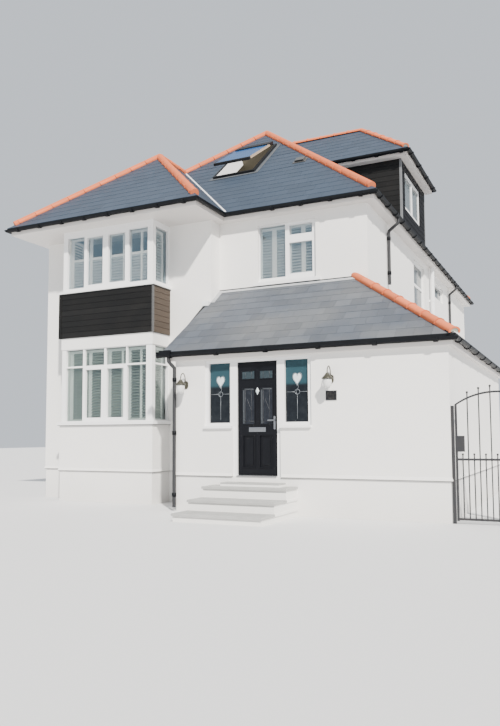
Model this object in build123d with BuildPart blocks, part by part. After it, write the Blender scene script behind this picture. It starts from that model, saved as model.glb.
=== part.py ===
from build123d import *
import os
from math import cos, radians, sin, tan

os.makedirs("parts", exist_ok=True)

# Two-storey rendered house with a wing, a bay, a side dormer and a wrap-round hall.
# Origin on the ground at the middle of the main block; front faces -Y, right side is +X.

# Main block and wing, outside of the walls
main_w = 7690.0
main_d = 12240.0
wing_w = 4420.0
wing_out = 375.0
wall = 300.0
ground_h = 665.0
plinth_in = 14.0
slab = 180.0
plinth_t = 320.0
first_z = 3540.0
first_t = 250.0
wall_top = 6050.0
soffit_z = wall_top - 102.0
loft_t = 150.0

# Two-storey bay on the wing
bay_left = 970.0
bay_right = 3394.0
bay_out = 652.0
bay_t = 90.0
bay_sill = 1640.0
band_bottom = first_z - 240.0
clad_bottom = first_z + 10.0
clad_top = clad_bottom + 996.0
bay_head = soffit_z - 48.0
bay_wall_t = 200.0
light_post = 170.0
light_bar = 86.0
return_post = 135.0
transom_low = 365.0
transom_t = 70.0

# Hall that wraps round the front right corner
hall_out = 1785.0
hall_back = 5400.0
lintel_h = 150.0

# Roofs
pitch = 40.7
hall_pitch = 38.0
hall_side_pitch = 35.0
fascia_out = 200.0
roof_edge = 70.0
fascia_t = 25.0
front_over = 1010.0
edge_t = 50.0
shell = 330.0
hall_fascia = 80.0
hall_edge = 60.0
gutter_r = 56.0
gutter_t = 6.0
gutter_up = 15.0
pipe_r = 34.0
roll_r = 85.0
hall_roll_r = 80.0

# Side dormer
dorm_front = 3200.0
dorm_back = 5850.0
dorm_set = 50.0
dorm_t = 120.0
dorm_soffit = wall_top + 1970.0
dorm_over = 190.0
dorm_win_in = 335.0
dorm_win_w = 1700.0
dorm_win_h = 940.0
dorm_win_down = 190.0

# Roof window on the front slope, placed from the middle of the two ridges' heights
rw_shift = 165.0
rw_width = 1110.0
rw_down = 1120.0
rw_len = 1800.0
rw_open = 7.8
sash_w = 950.0
sash_len = 1700.0
sash_in = 20.0

# Windows and door
frame_t = 60.0
bar = 70.0
glass_t = 12.0
front_win_x = 910.0
front_win_w = 1285.0
front_win_h = 1230.0
front_win_down = 158.0
door_in = 1291.0
door_w = 773.0
door_h = 2030.0
side_w = 590.0
door_sill = 22.0
head_gap = 58.0
side_sill = 1525.0
handle_up = 930.0
spindle_up = 45.0
side_win_in = [4140.0, 5420.0]
small_win_in = [6850.0, 8150.0]
small_win_h = 470.0

# Steps
step_left_out = 427.0
step_right_out = 1159.0
step_fronts = [3270.0, 2770.0, 2270.0]
step_tops = [135.0, 315.0, 505.0]
tread_t = 40.0
nosing = 30.0
sill_step_w = 1129.0
sill_step_h = 60.0

# Pipes on the right wall, as distances from its front corner
main_pipe_in = 1500.0
main_pipe_foot = 4600.0
rear_pipe_in = 9020.0
soil_in = 6000.0
soil_collars = (1200.0, 3100.0, 5000.0)

xl, xr = -main_w / 2, main_w / 2
yf, yb = -main_d / 2, main_d / 2
wx = xl + wing_w
wy = yf - wing_out
bx0, bx1 = xl + bay_left, xl + bay_right
by = wy - bay_out
hy = yf - hall_out
hx = xr + hall_out
hyb = yf + hall_back
door_left = wing_w + door_in
step_left, step_right = door_left - step_left_out, door_left + step_right_out
head_z = ground_h + door_sill + door_h + head_gap
hall_top = head_z + lintel_h
hall_soffit_z = hall_top - 120.0
rise = tan(radians(pitch))
hall_rise = tan(radians(hall_pitch))
side_rise = tan(radians(hall_side_pitch))
over = fascia_out + roof_edge
cosp, sinp = cos(radians(pitch)), sin(radians(pitch))


def finish(part, name):
    part.label = name
    export_step(part, f"parts/{name}.step")


# Foundation: plinth walls set in under the render line, with the ground floor slab
with BuildPart() as foundation:
    with BuildSketch(Plane.XY) as outline:
        with Locations((0, 0)):
            Rectangle(main_w - 2 * plinth_in, main_d - 2 * plinth_in)
        with Locations(((xl + wx) / 2, wy + 1000)):
            Rectangle(wing_w - 2 * plinth_in, 2000 - 2 * plinth_in)
        with Locations(((bx0 + bx1) / 2, by + 700)):
            Rectangle(bx1 - bx0 - 2 * plinth_in, 1400 - 2 * plinth_in)
        with Locations(((wx + hx) / 2, (hy + hyb) / 2)):
            Rectangle(hx - wx - 2 * plinth_in, hyb - hy - 2 * plinth_in)
    extrude(amount=ground_h)
    with BuildSketch(Plane.XY.offset(slab)):
        Rectangle(main_w - 2 * plinth_t, main_d - 2 * plinth_t)
        with Locations(((wx + hx) / 2, (hy + yf) / 2)):
            Rectangle(hx - wx - 2 * plinth_t, yf - hy - 2 * plinth_t)
    extrude(amount=ground_h - 2 * slab, mode=Mode.SUBTRACT)
finish(foundation.part, "foundation")

# First floor, with the landing left whole
with BuildPart() as first_floor:
    with BuildSketch(Plane.XY.offset(first_z - first_t)):
        Rectangle(main_w - 2 * wall, main_d - 2 * wall)
        with Locations(((xl + wx) / 2, (wy + yf) / 2 + wall)):
            Rectangle(wing_w - 2 * wall, wing_out)
    extrude(amount=first_t)
finish(first_floor.part, "first_floor")

with BuildPart() as loft_floor:
    with BuildSketch(Plane.XY.offset(soffit_z)):
        Rectangle(main_w - 2 * wall, main_d - 2 * wall)
        with Locations(((xl + wx) / 2, (wy + yf) / 2 + wall)):
            Rectangle(wing_w - 2 * wall, wing_out)
    extrude(amount=loft_t)
finish(loft_floor.part, "loft_floor")

# Main front wall, right of the wing: first floor window above, wide way to the hall below
fw_left = wx + front_win_x
fw_right = fw_left + front_win_w
fw_head = soffit_z - front_win_down
fw_sill = fw_head - front_win_h
way_w, way_h = 1500.0, 2060.0
way_left = wx + 980.0
way_right, way_head = way_left + way_w, ground_h + way_h
with BuildPart() as main_front_wall:
    with BuildSketch(Plane.XZ.offset(-(yf + wall))):
        with Locations(((wx + xr) / 2, (ground_h + wall_top) / 2)):
            Rectangle(xr - wx, wall_top - ground_h)
        with Locations(((fw_left + fw_right) / 2, (fw_sill + fw_head) / 2)):
            Rectangle(fw_right - fw_left, fw_head - fw_sill, mode=Mode.SUBTRACT)
        with Locations(((way_left + way_right) / 2, (ground_h + way_head) / 2)):
            Rectangle(way_right - way_left, way_head - ground_h, mode=Mode.SUBTRACT)
    extrude(amount=wall)
finish(main_front_wall.part, "main_front_wall")

# Wing front wall: open to the bay on both storeys, with a short return at its right end
with BuildPart() as wing_front_wall:
    with BuildSketch(Plane.XZ.offset(-(wy + wall))):
        with Locations(((xl + wx) / 2, (ground_h + wall_top) / 2)):
            Rectangle(wing_w, wall_top - ground_h)
        with Locations(((bx0 + bx1) / 2, (ground_h + first_z - first_t) / 2)):
            Rectangle(bx1 - bx0 - 2 * bay_t, first_z - first_t - ground_h, mode=Mode.SUBTRACT)
        with Locations(((bx0 + bx1) / 2, (first_z + bay_head) / 2)):
            Rectangle(bx1 - bx0 - 2 * bay_t, bay_head - first_z, mode=Mode.SUBTRACT)
    extrude(amount=wall)
    with BuildSketch(Plane.XY.offset(ground_h)):
        with Locations((wx - wall / 2, (wy + wall + yf + wall) / 2)):
            Rectangle(wall, wing_out)
    extrude(amount=wall_top - ground_h)
finish(wing_front_wall.part, "wing_front_wall")

# Left wall, plain
with BuildPart() as left_wall:
    with BuildSketch(Plane.XY.offset(ground_h)):
        with Locations((xl + wall / 2, (wy + wall + yb) / 2)):
            Rectangle(wall, yb - wy - wall)
    extrude(amount=wall_top - ground_h)
finish(left_wall.part, "left_wall")

# Right wall, with two first floor windows: a tall one over the hall roof and a low one behind it
rf_front, rf_back = [yf + d for d in side_win_in]
rb_front, rb_back = [yf + d for d in small_win_in]
rf_sill, rf_head = fw_sill, fw_head
rb_head = fw_head - 20.0
rb_sill = rb_head - small_win_h
with BuildPart() as right_wall:
    with BuildSketch(Plane.YZ.offset(xr - wall)):
        with Locations(((yf + wall + yb) / 2, (ground_h + wall_top) / 2)):
            Rectangle(main_d - wall, wall_top - ground_h)
        with Locations(((rf_front + rf_back) / 2, (rf_sill + rf_head) / 2)):
            Rectangle(rf_back - rf_front, rf_head - rf_sill, mode=Mode.SUBTRACT)
        with Locations(((rb_front + rb_back) / 2, (rb_sill + rb_head) / 2)):
            Rectangle(rb_back - rb_front, rb_head - rb_sill, mode=Mode.SUBTRACT)
    extrude(amount=wall)
finish(right_wall.part, "right_wall")

# Back wall, with one window on each storey
bw_half = 1200.0
with BuildPart() as back_wall:
    with BuildSketch(Plane.XZ.offset(-yb)):
        with Locations((0, (ground_h + wall_top) / 2)):
            Rectangle(main_w - 2 * wall, wall_top - ground_h)
        with Locations((0, (fw_sill + fw_head) / 2)):
            Rectangle(2 * bw_half, fw_head - fw_sill, mode=Mode.SUBTRACT)
        with Locations((0, (bay_sill + band_bottom) / 2)):
            Rectangle(2 * bw_half, band_bottom - bay_sill, mode=Mode.SUBTRACT)
    extrude(amount=wall)
finish(back_wall.part, "back_wall")


def bay_ring(x_in, thick, z0, z1):
    # a three-sided band in plan round the bay, open towards the wing wall
    with BuildPart() as ring:
        with BuildSketch(Plane.XY.offset(z0)):
            with Locations(((bx0 + bx1) / 2, (by + x_in + wy) / 2)):
                Rectangle(bx1 - bx0 - 2 * x_in, wy - by - x_in)
            with Locations(((bx0 + bx1) / 2, (by + x_in + thick + wy) / 2)):
                Rectangle(bx1 - bx0 - 2 * (x_in + thick), wy - by - x_in - thick, mode=Mode.SUBTRACT)
        extrude(amount=z1 - z0)
    return ring.part


# Bay wall below the lower window, a little wider than the frames above
with BuildPart() as bay_wall:
    add(bay_ring(0, bay_wall_t, ground_h, bay_sill))
finish(bay_wall.part, "bay_wall")

# White band and board-clad panel between the bay windows
with BuildPart() as bay_band:
    add(bay_ring(10, 140, band_bottom, clad_bottom))
finish(bay_band.part, "bay_band")

with BuildPart() as bay_cladding:
    add(bay_ring(0, 140, clad_bottom, clad_top))
finish(bay_cladding.part, "bay_cladding")

# Bay windows: four lights on the front and one on each return, over a sloping sill
light_w = (bx1 - bx0 - 2 * light_post - 3 * light_bar) / 4
lights = [bx0 + light_post + light_w / 2 + i * (light_w + light_bar) for i in range(4)]
ret_front, ret_back = return_post, bay_out - 112.0
sill_out = 45.0
lower_top, lower_sill = band_bottom, bay_sill
transom_lo = lower_top - transom_low - transom_t
transom_hi = transom_lo + transom_t
low_rail, high_rail = 145.0, 90.0
up_low_rail, up_high_rail = 95.0, 150.0
casement_in = 45.0
with BuildPart() as bay_lower_window:
    add(bay_ring(25, frame_t, lower_sill, lower_top))
    for x in lights:
        for z0, z1 in ((lower_sill + low_rail, transom_lo), (transom_hi, lower_top - high_rail)):
            with BuildSketch(Plane.XZ.offset(-(by + 200))):
                with Locations((x, (z0 + z1) / 2)):
                    Rectangle(light_w, z1 - z0)
            extrude(amount=400, mode=Mode.SUBTRACT)
    for z0, z1 in ((lower_sill + low_rail, transom_lo), (transom_hi, lower_top - high_rail)):
        with BuildSketch(Plane.YZ.offset(bx0 - 200)):
            with Locations((by + (ret_front + ret_back) / 2, (z0 + z1) / 2)):
                Rectangle(ret_back - ret_front, z1 - z0)
        extrude(amount=bx1 - bx0 + 400, mode=Mode.SUBTRACT)
    with BuildSketch(Plane.XY.offset(lower_sill)):
        with Locations(((bx0 + bx1) / 2, (by - sill_out + wy) / 2)):
            Rectangle(bx1 - bx0 + 2 * sill_out, wy - by + sill_out)
        with Locations(((bx0 + bx1) / 2, (by + 25 + wy) / 2)):
            Rectangle(bx1 - bx0 - 50, wy - by - 25, mode=Mode.SUBTRACT)
    extrude(amount=70)
finish(bay_lower_window.part, "bay_lower_window")

with BuildPart() as bay_lower_glass:
    add(bay_ring(25 + frame_t, glass_t, lower_sill + 60, lower_top))
finish(bay_lower_glass.part, "bay_lower_glass")

upper_sill, upper_top = clad_top, bay_head
with BuildPart() as bay_upper_window:
    add(bay_ring(25, frame_t, upper_sill, soffit_z))
    for i, x in enumerate(lights):
        inset = casement_in if i in (1, 2) else 0
        z0, z1 = upper_sill + up_low_rail + inset, upper_top - up_high_rail - inset
        with BuildSketch(Plane.XZ.offset(-(by + 200))):
            with Locations((x, (z0 + z1) / 2)):
                Rectangle(light_w - inset, z1 - z0)
        extrude(amount=400, mode=Mode.SUBTRACT)
    with BuildSketch(Plane.YZ.offset(bx0 - 200)):
        z0, z1 = upper_sill + up_low_rail, upper_top - up_high_rail
        with Locations((by + (ret_front + ret_back) / 2, (z0 + z1) / 2)):
            Rectangle(ret_back - ret_front, z1 - z0)
    extrude(amount=bx1 - bx0 + 400, mode=Mode.SUBTRACT)
    with BuildSketch(Plane.XY.offset(upper_sill)):
        with Locations(((bx0 + bx1) / 2, (by - sill_out + wy) / 2)):
            Rectangle(bx1 - bx0 + 2 * sill_out, wy - by + sill_out)
        with Locations(((bx0 + bx1) / 2, (by + 25 + wy) / 2)):
            Rectangle(bx1 - bx0 - 50, wy - by - 25, mode=Mode.SUBTRACT)
    extrude(amount=40)
finish(bay_upper_window.part, "bay_upper_window")

with BuildPart() as bay_upper_glass:
    add(bay_ring(25 + frame_t, glass_t, upper_sill + 60, soffit_z))
finish(bay_upper_glass.part, "bay_upper_glass")

# Front first floor window: one tall light, then a fanlight over a casement
reveal = 60.0
fw_clear = fw_right - fw_left - 270.0
tall_l = fw_left + 45.0
tall_r = tall_l + 0.54 * fw_clear
case_l, case_r = tall_r + 120.0, fw_right - 105.0
fan_top, fan_low = fw_head - 130.0, fw_head - 310.0
case_top, case_low = fw_head - 480.0, fw_sill + 120.0
tall_top, tall_low = fw_head - 85.0, fw_sill + 70.0
with BuildPart() as front_window:
    with BuildSketch(Plane.XZ.offset(-(yf + reveal + frame_t))):
        with Locations(((fw_left + fw_right) / 2, (fw_sill + fw_head) / 2)):
            Rectangle(fw_right - fw_left, fw_head - fw_sill)
        for x0, x1, z0, z1 in ((tall_l, tall_r, tall_low, tall_top), (case_l, case_r, fan_low, fan_top),
                               (case_l, case_r, case_low, case_top)):
            with Locations(((x0 + x1) / 2, (z0 + z1) / 2)):
                Rectangle(x1 - x0, z1 - z0, mode=Mode.SUBTRACT)
    extrude(amount=frame_t)
    with BuildSketch(Plane.XY.offset(fw_sill - 50)):
        with Locations(((fw_left + fw_right) / 2, yf - sill_out / 2)):
            Rectangle(fw_right - fw_left + 200, sill_out)
    extrude(amount=50)
    with BuildSketch(Plane.XY.offset(fw_sill)):
        with Locations(((fw_left + fw_right) / 2, (yf - sill_out + yf + reveal) / 2)):
            Rectangle(fw_right - fw_left, sill_out + reveal)
    extrude(amount=20)
finish(front_window.part, "front_window")

with BuildPart() as front_window_glass:
    with BuildSketch(Plane.XZ.offset(-(yf + reveal + frame_t + glass_t))):
        with Locations(((fw_left + fw_right) / 2, (fw_sill + fw_head) / 2)):
            Rectangle(fw_right - fw_left, fw_head - fw_sill)
    extrude(amount=glass_t)
finish(front_window_glass.part, "front_window_glass")


def side_window(y0, y1, z0, z1, x_face, bar_z=None):
    # a frame and its pane in one, seen from the +X side, with a cross bar centred at bar_z if it has one
    with BuildPart() as window:
        with BuildSketch(Plane.YZ.offset(x_face - frame_t)):
            with Locations(((y0 + y1) / 2, (z0 + z1) / 2)):
                Rectangle(y1 - y0, z1 - z0)
                Rectangle(y1 - y0 - 2 * bar, z1 - z0 - 2 * bar, mode=Mode.SUBTRACT)
            if bar_z:
                with Locations(((y0 + y1) / 2, bar_z)):
                    Rectangle(y1 - y0, bar)
        extrude(amount=frame_t)
        with BuildSketch(Plane.YZ.offset(x_face - 36)):
            with Locations(((y0 + y1) / 2, (z0 + z1) / 2)):
                Rectangle(y1 - y0 - 2, z1 - z0 - 2)
        extrude(amount=glass_t)
    return window.part


def back_window(z0, z1):
    # a frame with three lights and its pane in one, seen from the +Y side
    with BuildPart() as window:
        with BuildSketch(Plane.XZ.offset(-(yb - reveal))):
            with Locations((0, (z0 + z1) / 2)):
                Rectangle(2 * bw_half, z1 - z0)
            step = 2 * bw_half / 3
            with Locations([(i * step, (z0 + z1) / 2) for i in (-1, 0, 1)]):
                Rectangle(step - 100, z1 - z0 - 2 * bar, mode=Mode.SUBTRACT)
        extrude(amount=frame_t)
        with BuildSketch(Plane.XZ.offset(-(yb - reveal - 24))):
            with Locations((0, (z0 + z1) / 2)):
                Rectangle(2 * bw_half - 2, z1 - z0 - 2)
        extrude(amount=glass_t)
    return window.part


with BuildPart() as right_window_front:
    add(side_window(rf_front, rf_back, rf_sill, rf_head, xr - reveal, (rf_sill + rf_head) / 2 + 20))
finish(right_window_front.part, "right_window_front")

with BuildPart() as right_window_back:
    add(side_window(rb_front, rb_back, rb_sill, rb_head, xr - reveal))
finish(right_window_back.part, "right_window_back")

with BuildPart() as back_window_upper:
    add(back_window(fw_sill, fw_head))
finish(back_window_upper.part, "back_window_upper")

with BuildPart() as back_window_lower:
    add(back_window(bay_sill, band_bottom))
finish(back_window_lower.part, "back_window_lower")


def hip_block(x0, x1, y0, y1, zb, edge, hip_back=True):
    # a hipped block: a gable run along Y, cut by the front and back slopes
    w = (x1 - x0) / 2
    xm = (x0 + x1) / 2
    top = zb + edge + w * rise
    with BuildPart() as block:
        with BuildSketch(Plane.XZ.offset(-y1)):
            with BuildLine():
                Polyline((x0, zb), (x0, zb + edge), (xm, top), (x1, zb + edge), (x1, zb), close=True)
            make_face()
        extrude(amount=y1 - y0)
        with BuildSketch(Plane.YZ.offset(x0 - 1)):
            a = y0 + w + 1
            b = y1 - w - 1
            with BuildLine():
                if hip_back:
                    Polyline((y0, zb), (y0, zb + edge), (a, top + rise), (b, top + rise), (y1, zb + edge),
                             (y1, zb), close=True)
                else:
                    Polyline((y0, zb), (y0, zb + edge), (a, top + rise), (y1, top + rise), (y1, zb), close=True)
            make_face()
        extrude(amount=x1 - x0 + 2, mode=Mode.INTERSECT)
    return block.part


# Outer skins of the two roofs, and the hollow below them
roof_front = wy - front_over - roof_edge
main_skin = hip_block(xl - over, xr + over, yf - over, yb + over, wall_top, edge_t)
wing_skin = hip_block(xl - over, wx + over, roof_front, yf + 3000, wall_top, edge_t, False)
main_hollow = hip_block(xl - over + shell, xr + over - shell, yf - over + shell, yb + over - shell,
                        wall_top - 1, 1)
wing_hollow = hip_block(xl - over + shell, wx + over - shell, roof_front + shell, yf + 3200,
                        wall_top - 1, 1, False)
zs = wall_top + edge_t
half_m = main_w / 2 + over
half_w = wing_w / 2 + over

# Dormer: outer volume and the hollow inside its cheeks
dx = xr - dorm_set
dy0, dy1 = yf + dorm_front, yf + dorm_back
dym = (dy0 + dy1) / 2
d_over = dorm_over + 50
d_half = (dy1 - dy0) / 2
dorm_wall_top = dorm_soffit + 95


def dormer_block(x_end, half, zb, edge):
    # hipped block whose ridge runs along X, from inside the main roof out to its end at x_end
    top = zb + edge + half * rise
    with BuildPart() as block:
        with BuildSketch(Plane.YZ.offset(0)):
            with BuildLine():
                Polyline((dym - half, zb), (dym - half, zb + edge), (dym, top), (dym + half, zb + edge),
                         (dym + half, zb), close=True)
            make_face()
        extrude(amount=x_end)
        with BuildSketch(Plane.XZ.offset(-(dym + half + 1))):
            with BuildLine():
                Polyline((-1, zb), (-1, top + rise), (x_end - half - 1, top + rise), (x_end, zb + edge),
                         (x_end, zb), close=True)
            make_face()
        extrude(amount=2 * half + 2, mode=Mode.INTERSECT)
    return block.part


dorm_skin = dormer_block(dx + d_over, d_half + d_over, dorm_wall_top, edge_t)
dorm_hollow = dormer_block(dx + d_over - shell, d_half + d_over - shell, dorm_wall_top - 1, 1)
with BuildPart() as dorm_room:
    with BuildSketch(Plane.XY.offset(soffit_z + loft_t)):
        with Locations((dx / 2 - dorm_t / 2, dym)):
            Rectangle(dx - dorm_t, 2 * (d_half - dorm_t))
    extrude(amount=dorm_wall_top - soffit_z - loft_t)

# Roof window opening, square to the front slope
rw_mid_s = (half_w + half_m) / (2 * cosp) - rw_down
rw_plane = Plane(origin=(rw_shift, yf - over + rw_mid_s * cosp, zs + rw_mid_s * sinp),
                 x_dir=(1, 0, 0), z_dir=(0, -sinp, cosp))

with BuildPart() as main_roof:
    add(main_skin)
    add(wing_skin)
    add(main_hollow, mode=Mode.SUBTRACT)
    add(wing_hollow, mode=Mode.SUBTRACT)
    add(dorm_room.part, mode=Mode.SUBTRACT)
    add(dorm_hollow, mode=Mode.SUBTRACT)
    with BuildSketch(rw_plane.offset(-600)):
        Rectangle(rw_width, rw_len)
    extrude(amount=900, mode=Mode.SUBTRACT)
finish(main_roof.part, "main_roof")

# Dormer cheeks and face stand on the main roof
dw_front, dw_back = dy0 + dorm_win_in, dy0 + dorm_win_in + dorm_win_w
dw_head = dorm_soffit - dorm_win_down
dw_sill = dw_head - dorm_win_h
with BuildPart() as dormer_walls:
    with BuildSketch(Plane.XY.offset(wall_top)):
        with Locations((dx / 2, dym)):
            Rectangle(dx, 2 * d_half)
    extrude(amount=dorm_wall_top - wall_top)
    add(dorm_room.part, mode=Mode.SUBTRACT)
    add(main_skin, mode=Mode.SUBTRACT)
    with BuildSketch(Plane.YZ.offset(dx - dorm_t - 50)):
        with Locations(((dw_front + dw_back) / 2, (dw_sill + dw_head) / 2)):
            Rectangle(dw_back - dw_front, dw_head - dw_sill)
    extrude(amount=dorm_t + 100, mode=Mode.SUBTRACT)
finish(dormer_walls.part, "dormer_walls")

with BuildPart() as dormer_window:
    add(side_window(dw_front, dw_back, dw_sill, dw_head, dx - 10))
finish(dormer_window.part, "dormer_window")

with BuildPart() as dormer_roof:
    add(dorm_skin)
    add(dorm_hollow, mode=Mode.SUBTRACT)
    add(main_skin, mode=Mode.SUBTRACT)
finish(dormer_roof.part, "dormer_roof")


def dormer_frame(reach_out, reach_in, z0, z1):
    # a level band round the three free sides of the dormer
    with BuildPart() as band:
        with BuildSketch(Plane.XY.offset(z0)):
            with Locations(((dx + reach_out) / 2, dym)):
                Rectangle(dx + reach_out, 2 * (d_half + reach_out))
            with Locations(((dx + reach_in) / 2, dym)):
                Rectangle(dx + reach_in, 2 * (d_half + reach_in), mode=Mode.SUBTRACT)
        extrude(amount=z1 - z0)
    return band.part


with BuildPart() as dormer_soffit:
    add(dormer_frame(dorm_over, 0, dorm_soffit, dorm_soffit + 20))
    add(dormer_frame(dorm_over, dorm_over - fascia_t, dorm_soffit, dorm_wall_top))
    add(main_skin, mode=Mode.SUBTRACT)
finish(dormer_soffit.part, "dormer_soffit")


def gutter_run(points, z, closed=False):
    # half-round gutter with a flat back strip, swept round mitred corners with the house on its left
    with BuildPart() as gutter:
        with BuildLine() as run:
            Polyline(*[(x, y, z) for x, y in points], close=closed)
        start = run.line % 0
        with BuildSketch(Plane(origin=run.line @ 0, x_dir=(start.Y, -start.X, 0), z_dir=start)):
            Circle(gutter_r)
            Circle(gutter_r - gutter_t, mode=Mode.SUBTRACT)
            with Locations((0, -gutter_r)):
                Rectangle(2 * gutter_r + 2, 2 * gutter_r, mode=Mode.SUBTRACT)
            with Locations((-gutter_r + gutter_t / 2, 12)):
                Rectangle(gutter_t, 24)
        sweep(path=run.line, transition=Transition.RIGHT)
        if not closed:
            for at in (0, 1):
                away = run.line % at
                with BuildSketch(Plane(origin=run.line @ at, x_dir=(away.Y, -away.X, 0), z_dir=away)):
                    Circle(gutter_r - gutter_t / 2)
                    with Locations((0, -gutter_r)):
                        Rectangle(2 * gutter_r + 2, 2 * gutter_r, mode=Mode.SUBTRACT)
                extrude(amount=gutter_t if at == 0 else -gutter_t)
    return gutter.part


dg = dorm_over + gutter_r
with BuildPart() as dormer_gutter:
    add(gutter_run([(0, dy0 - dg), (dx + dg, dy0 - dg), (dx + dg, dy1 + dg), (0, dy1 + dg)],
                   dorm_wall_top + gutter_up))
    add(main_skin, mode=Mode.SUBTRACT)
    add(dorm_skin, mode=Mode.SUBTRACT)
finish(dormer_gutter.part, "dormer_gutter")

# Roof window: a frame in the slope, and its sash standing open about the top edge
with BuildPart() as roof_window:
    with BuildSketch(rw_plane.offset(-90)):
        Rectangle(rw_width, rw_len)
        Rectangle(rw_width - 120, rw_len - 120, mode=Mode.SUBTRACT)
    extrude(amount=150)
finish(roof_window.part, "roof_window")

sash_plane = Plane(origin=rw_plane.from_local_coords(Vector(0, rw_len / 2 - sash_in, 60)), x_dir=(1, 0, 0),
                   z_dir=(0, -sin(radians(pitch - rw_open)), cos(radians(pitch - rw_open))))
with BuildPart() as roof_window_sash:
    with BuildSketch(sash_plane):
        with Locations((0, -sash_len / 2)):
            Rectangle(sash_w, sash_len)
            Rectangle(sash_w - 140, sash_len - 140, mode=Mode.SUBTRACT)
    extrude(amount=50)
    with BuildSketch(sash_plane.offset(20)):
        with Locations((0, -sash_len / 2)):
            Rectangle(sash_w - 20, sash_len - 20)
    extrude(amount=16)
finish(roof_window_sash.part, "roof_window_sash")


# Half-round tiles along the hips and ridges of the main and wing roofs
def roll(p0, p1, radius):
    path = Vector(*p1) - Vector(*p0)
    plane = Plane(origin=p0, z_dir=path.normalized())
    with BuildPart() as tile:
        with BuildSketch(plane):
            Circle(radius)
        extrude(amount=path.length)
    return tile.part


ridge_z = zs + half_m * rise
wing_z = zs + half_w * rise
xw = (xl + wx) / 2
junction = (xw, yf - over + half_w, wing_z)
peak = (0, yf - over + half_m, ridge_z)
peak_b = (0, yb + over - half_m, ridge_z)
low = 120.0


def down_hip(top, sx, sy, half, keep):
    # the foot of a hip that starts at top, stopping a little above the eaves
    run = half - keep
    return (top[0] + sx * run, top[1] + sy * run, top[2] - run * rise)


wing_peak = (xw, roof_front + half_w, wing_z)
runs = [(peak, junction), (junction, wing_peak), (peak, peak_b),
        (peak, down_hip(peak, 1, -1, half_m, low)), (peak_b, down_hip(peak_b, 1, 1, half_m, low)),
        (peak_b, down_hip(peak_b, -1, 1, half_m, low)),
        (wing_peak, down_hip(wing_peak, 1, -1, half_w, low)),
        (wing_peak, down_hip(wing_peak, -1, -1, half_w, low))]
with BuildPart() as main_hip_tiles:
    for p0, p1 in runs:
        add(roll(p0, p1, roll_r))
    for p0 in (peak, junction, peak_b, wing_peak):
        with Locations(p0):
            Sphere(roll_r)
    add(main_skin, mode=Mode.SUBTRACT)
    add(wing_skin, mode=Mode.SUBTRACT)
finish(main_hip_tiles.part, "main_hip_tiles")


# Eaves of the main and wing roofs: soffit boards, fascia and gutter in one level ring
def eave_ring(reach_out, reach_in, z0, z1):
    with BuildPart() as ring:
        with BuildSketch(Plane.XY.offset(z0)):
            Rectangle(main_w + 2 * reach_out, main_d + 2 * reach_out)
            with Locations(((xl + wx) / 2, (wy - front_over + fascia_out - reach_out) / 2)):
                Rectangle(wing_w + 2 * reach_out, -(wy - front_over + fascia_out - reach_out))
            Rectangle(main_w + 2 * reach_in, main_d + 2 * reach_in, mode=Mode.SUBTRACT)
            with Locations(((xl + wx) / 2, (wy - front_over + fascia_out - reach_in) / 2)):
                Rectangle(wing_w + 2 * reach_in, -(wy - front_over + fascia_out - reach_in), mode=Mode.SUBTRACT)
        extrude(amount=z1 - z0)
    return ring.part


with BuildPart() as main_soffit:
    with BuildSketch(Plane.XY.offset(soffit_z)):
        Rectangle(main_w + 2 * fascia_out, main_d + 2 * fascia_out)
        with Locations(((xl + wx) / 2, (wy - front_over) / 2)):
            Rectangle(wing_w + 2 * fascia_out, -(wy - front_over))
        Rectangle(main_w, main_d, mode=Mode.SUBTRACT)
        with Locations(((xl + wx) / 2, wy / 2)):
            Rectangle(wing_w, -wy, mode=Mode.SUBTRACT)
    extrude(amount=20)
    add(eave_ring(fascia_out, fascia_out - fascia_t, soffit_z, wall_top))
finish(main_soffit.part, "main_soffit")

mg = fascia_out + gutter_r
gut_z = wall_top + gutter_up
with BuildPart() as main_gutter:
    add(gutter_run([(wx + mg + 900, yf - mg), (xr + mg, yf - mg), (xr + mg, yb + mg), (xl - mg, yb + mg),
                    (xl - mg, wy - front_over - gutter_r), (wx + mg, wy - front_over - gutter_r),
                    (wx + mg, yf - mg)], gut_z, True))
    add(main_skin, mode=Mode.SUBTRACT)
    add(wing_skin, mode=Mode.SUBTRACT)
finish(main_gutter.part, "main_gutter")

# Downpipes on the right wall: the front one stops over the hall roof, the rear one reaches the ground
outlet_x = xr + fascia_out + gutter_r
pipe_x = xr + pipe_r + 14


def wall_pipe(y, foot):
    with BuildPart() as pipe:
        with BuildLine() as route:
            FilletPolyline((outlet_x, y, gut_z - 35), (outlet_x, y, gut_z - 145), (pipe_x, y, gut_z - 305),
                           (pipe_x, y, foot), radius=60)
        with BuildSketch(Plane(origin=(outlet_x, y, gut_z - 35), z_dir=(0, 0, -1))):
            Circle(pipe_r)
        sweep(path=route.line)
        with Locations(Location((outlet_x, y, gut_z), (90, 0, 0))):
            Cylinder(gutter_r, 300, mode=Mode.SUBTRACT)
    return pipe.part


with BuildPart() as main_downpipe:
    add(wall_pipe(yf + main_pipe_in, main_pipe_foot))
finish(main_downpipe.part, "main_downpipe")

with BuildPart() as rear_downpipe:
    add(wall_pipe(yf + rear_pipe_in, 0.0))
finish(rear_downpipe.part, "rear_downpipe")

# Soil pipe behind the hall, from the ground to the soffit, held off the wall on collars
soil_r = 55.0
soil_x, soil_y = xr + soil_r + 45.0, yf + soil_in
with BuildPart() as soil_pipe:
    with BuildSketch(Plane.XY):
        with Locations((soil_x, soil_y)):
            Circle(soil_r)
    extrude(amount=soffit_z)
    for z in soil_collars:
        with BuildSketch(Plane.XY.offset(z)):
            with Locations((soil_x, soil_y)):
                Circle(soil_r + 8)
            with Locations(((xr + soil_x) / 2, soil_y)):
                Rectangle(soil_x - xr, 50)
        extrude(amount=60)
finish(soil_pipe.part, "soil_pipe")

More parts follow.
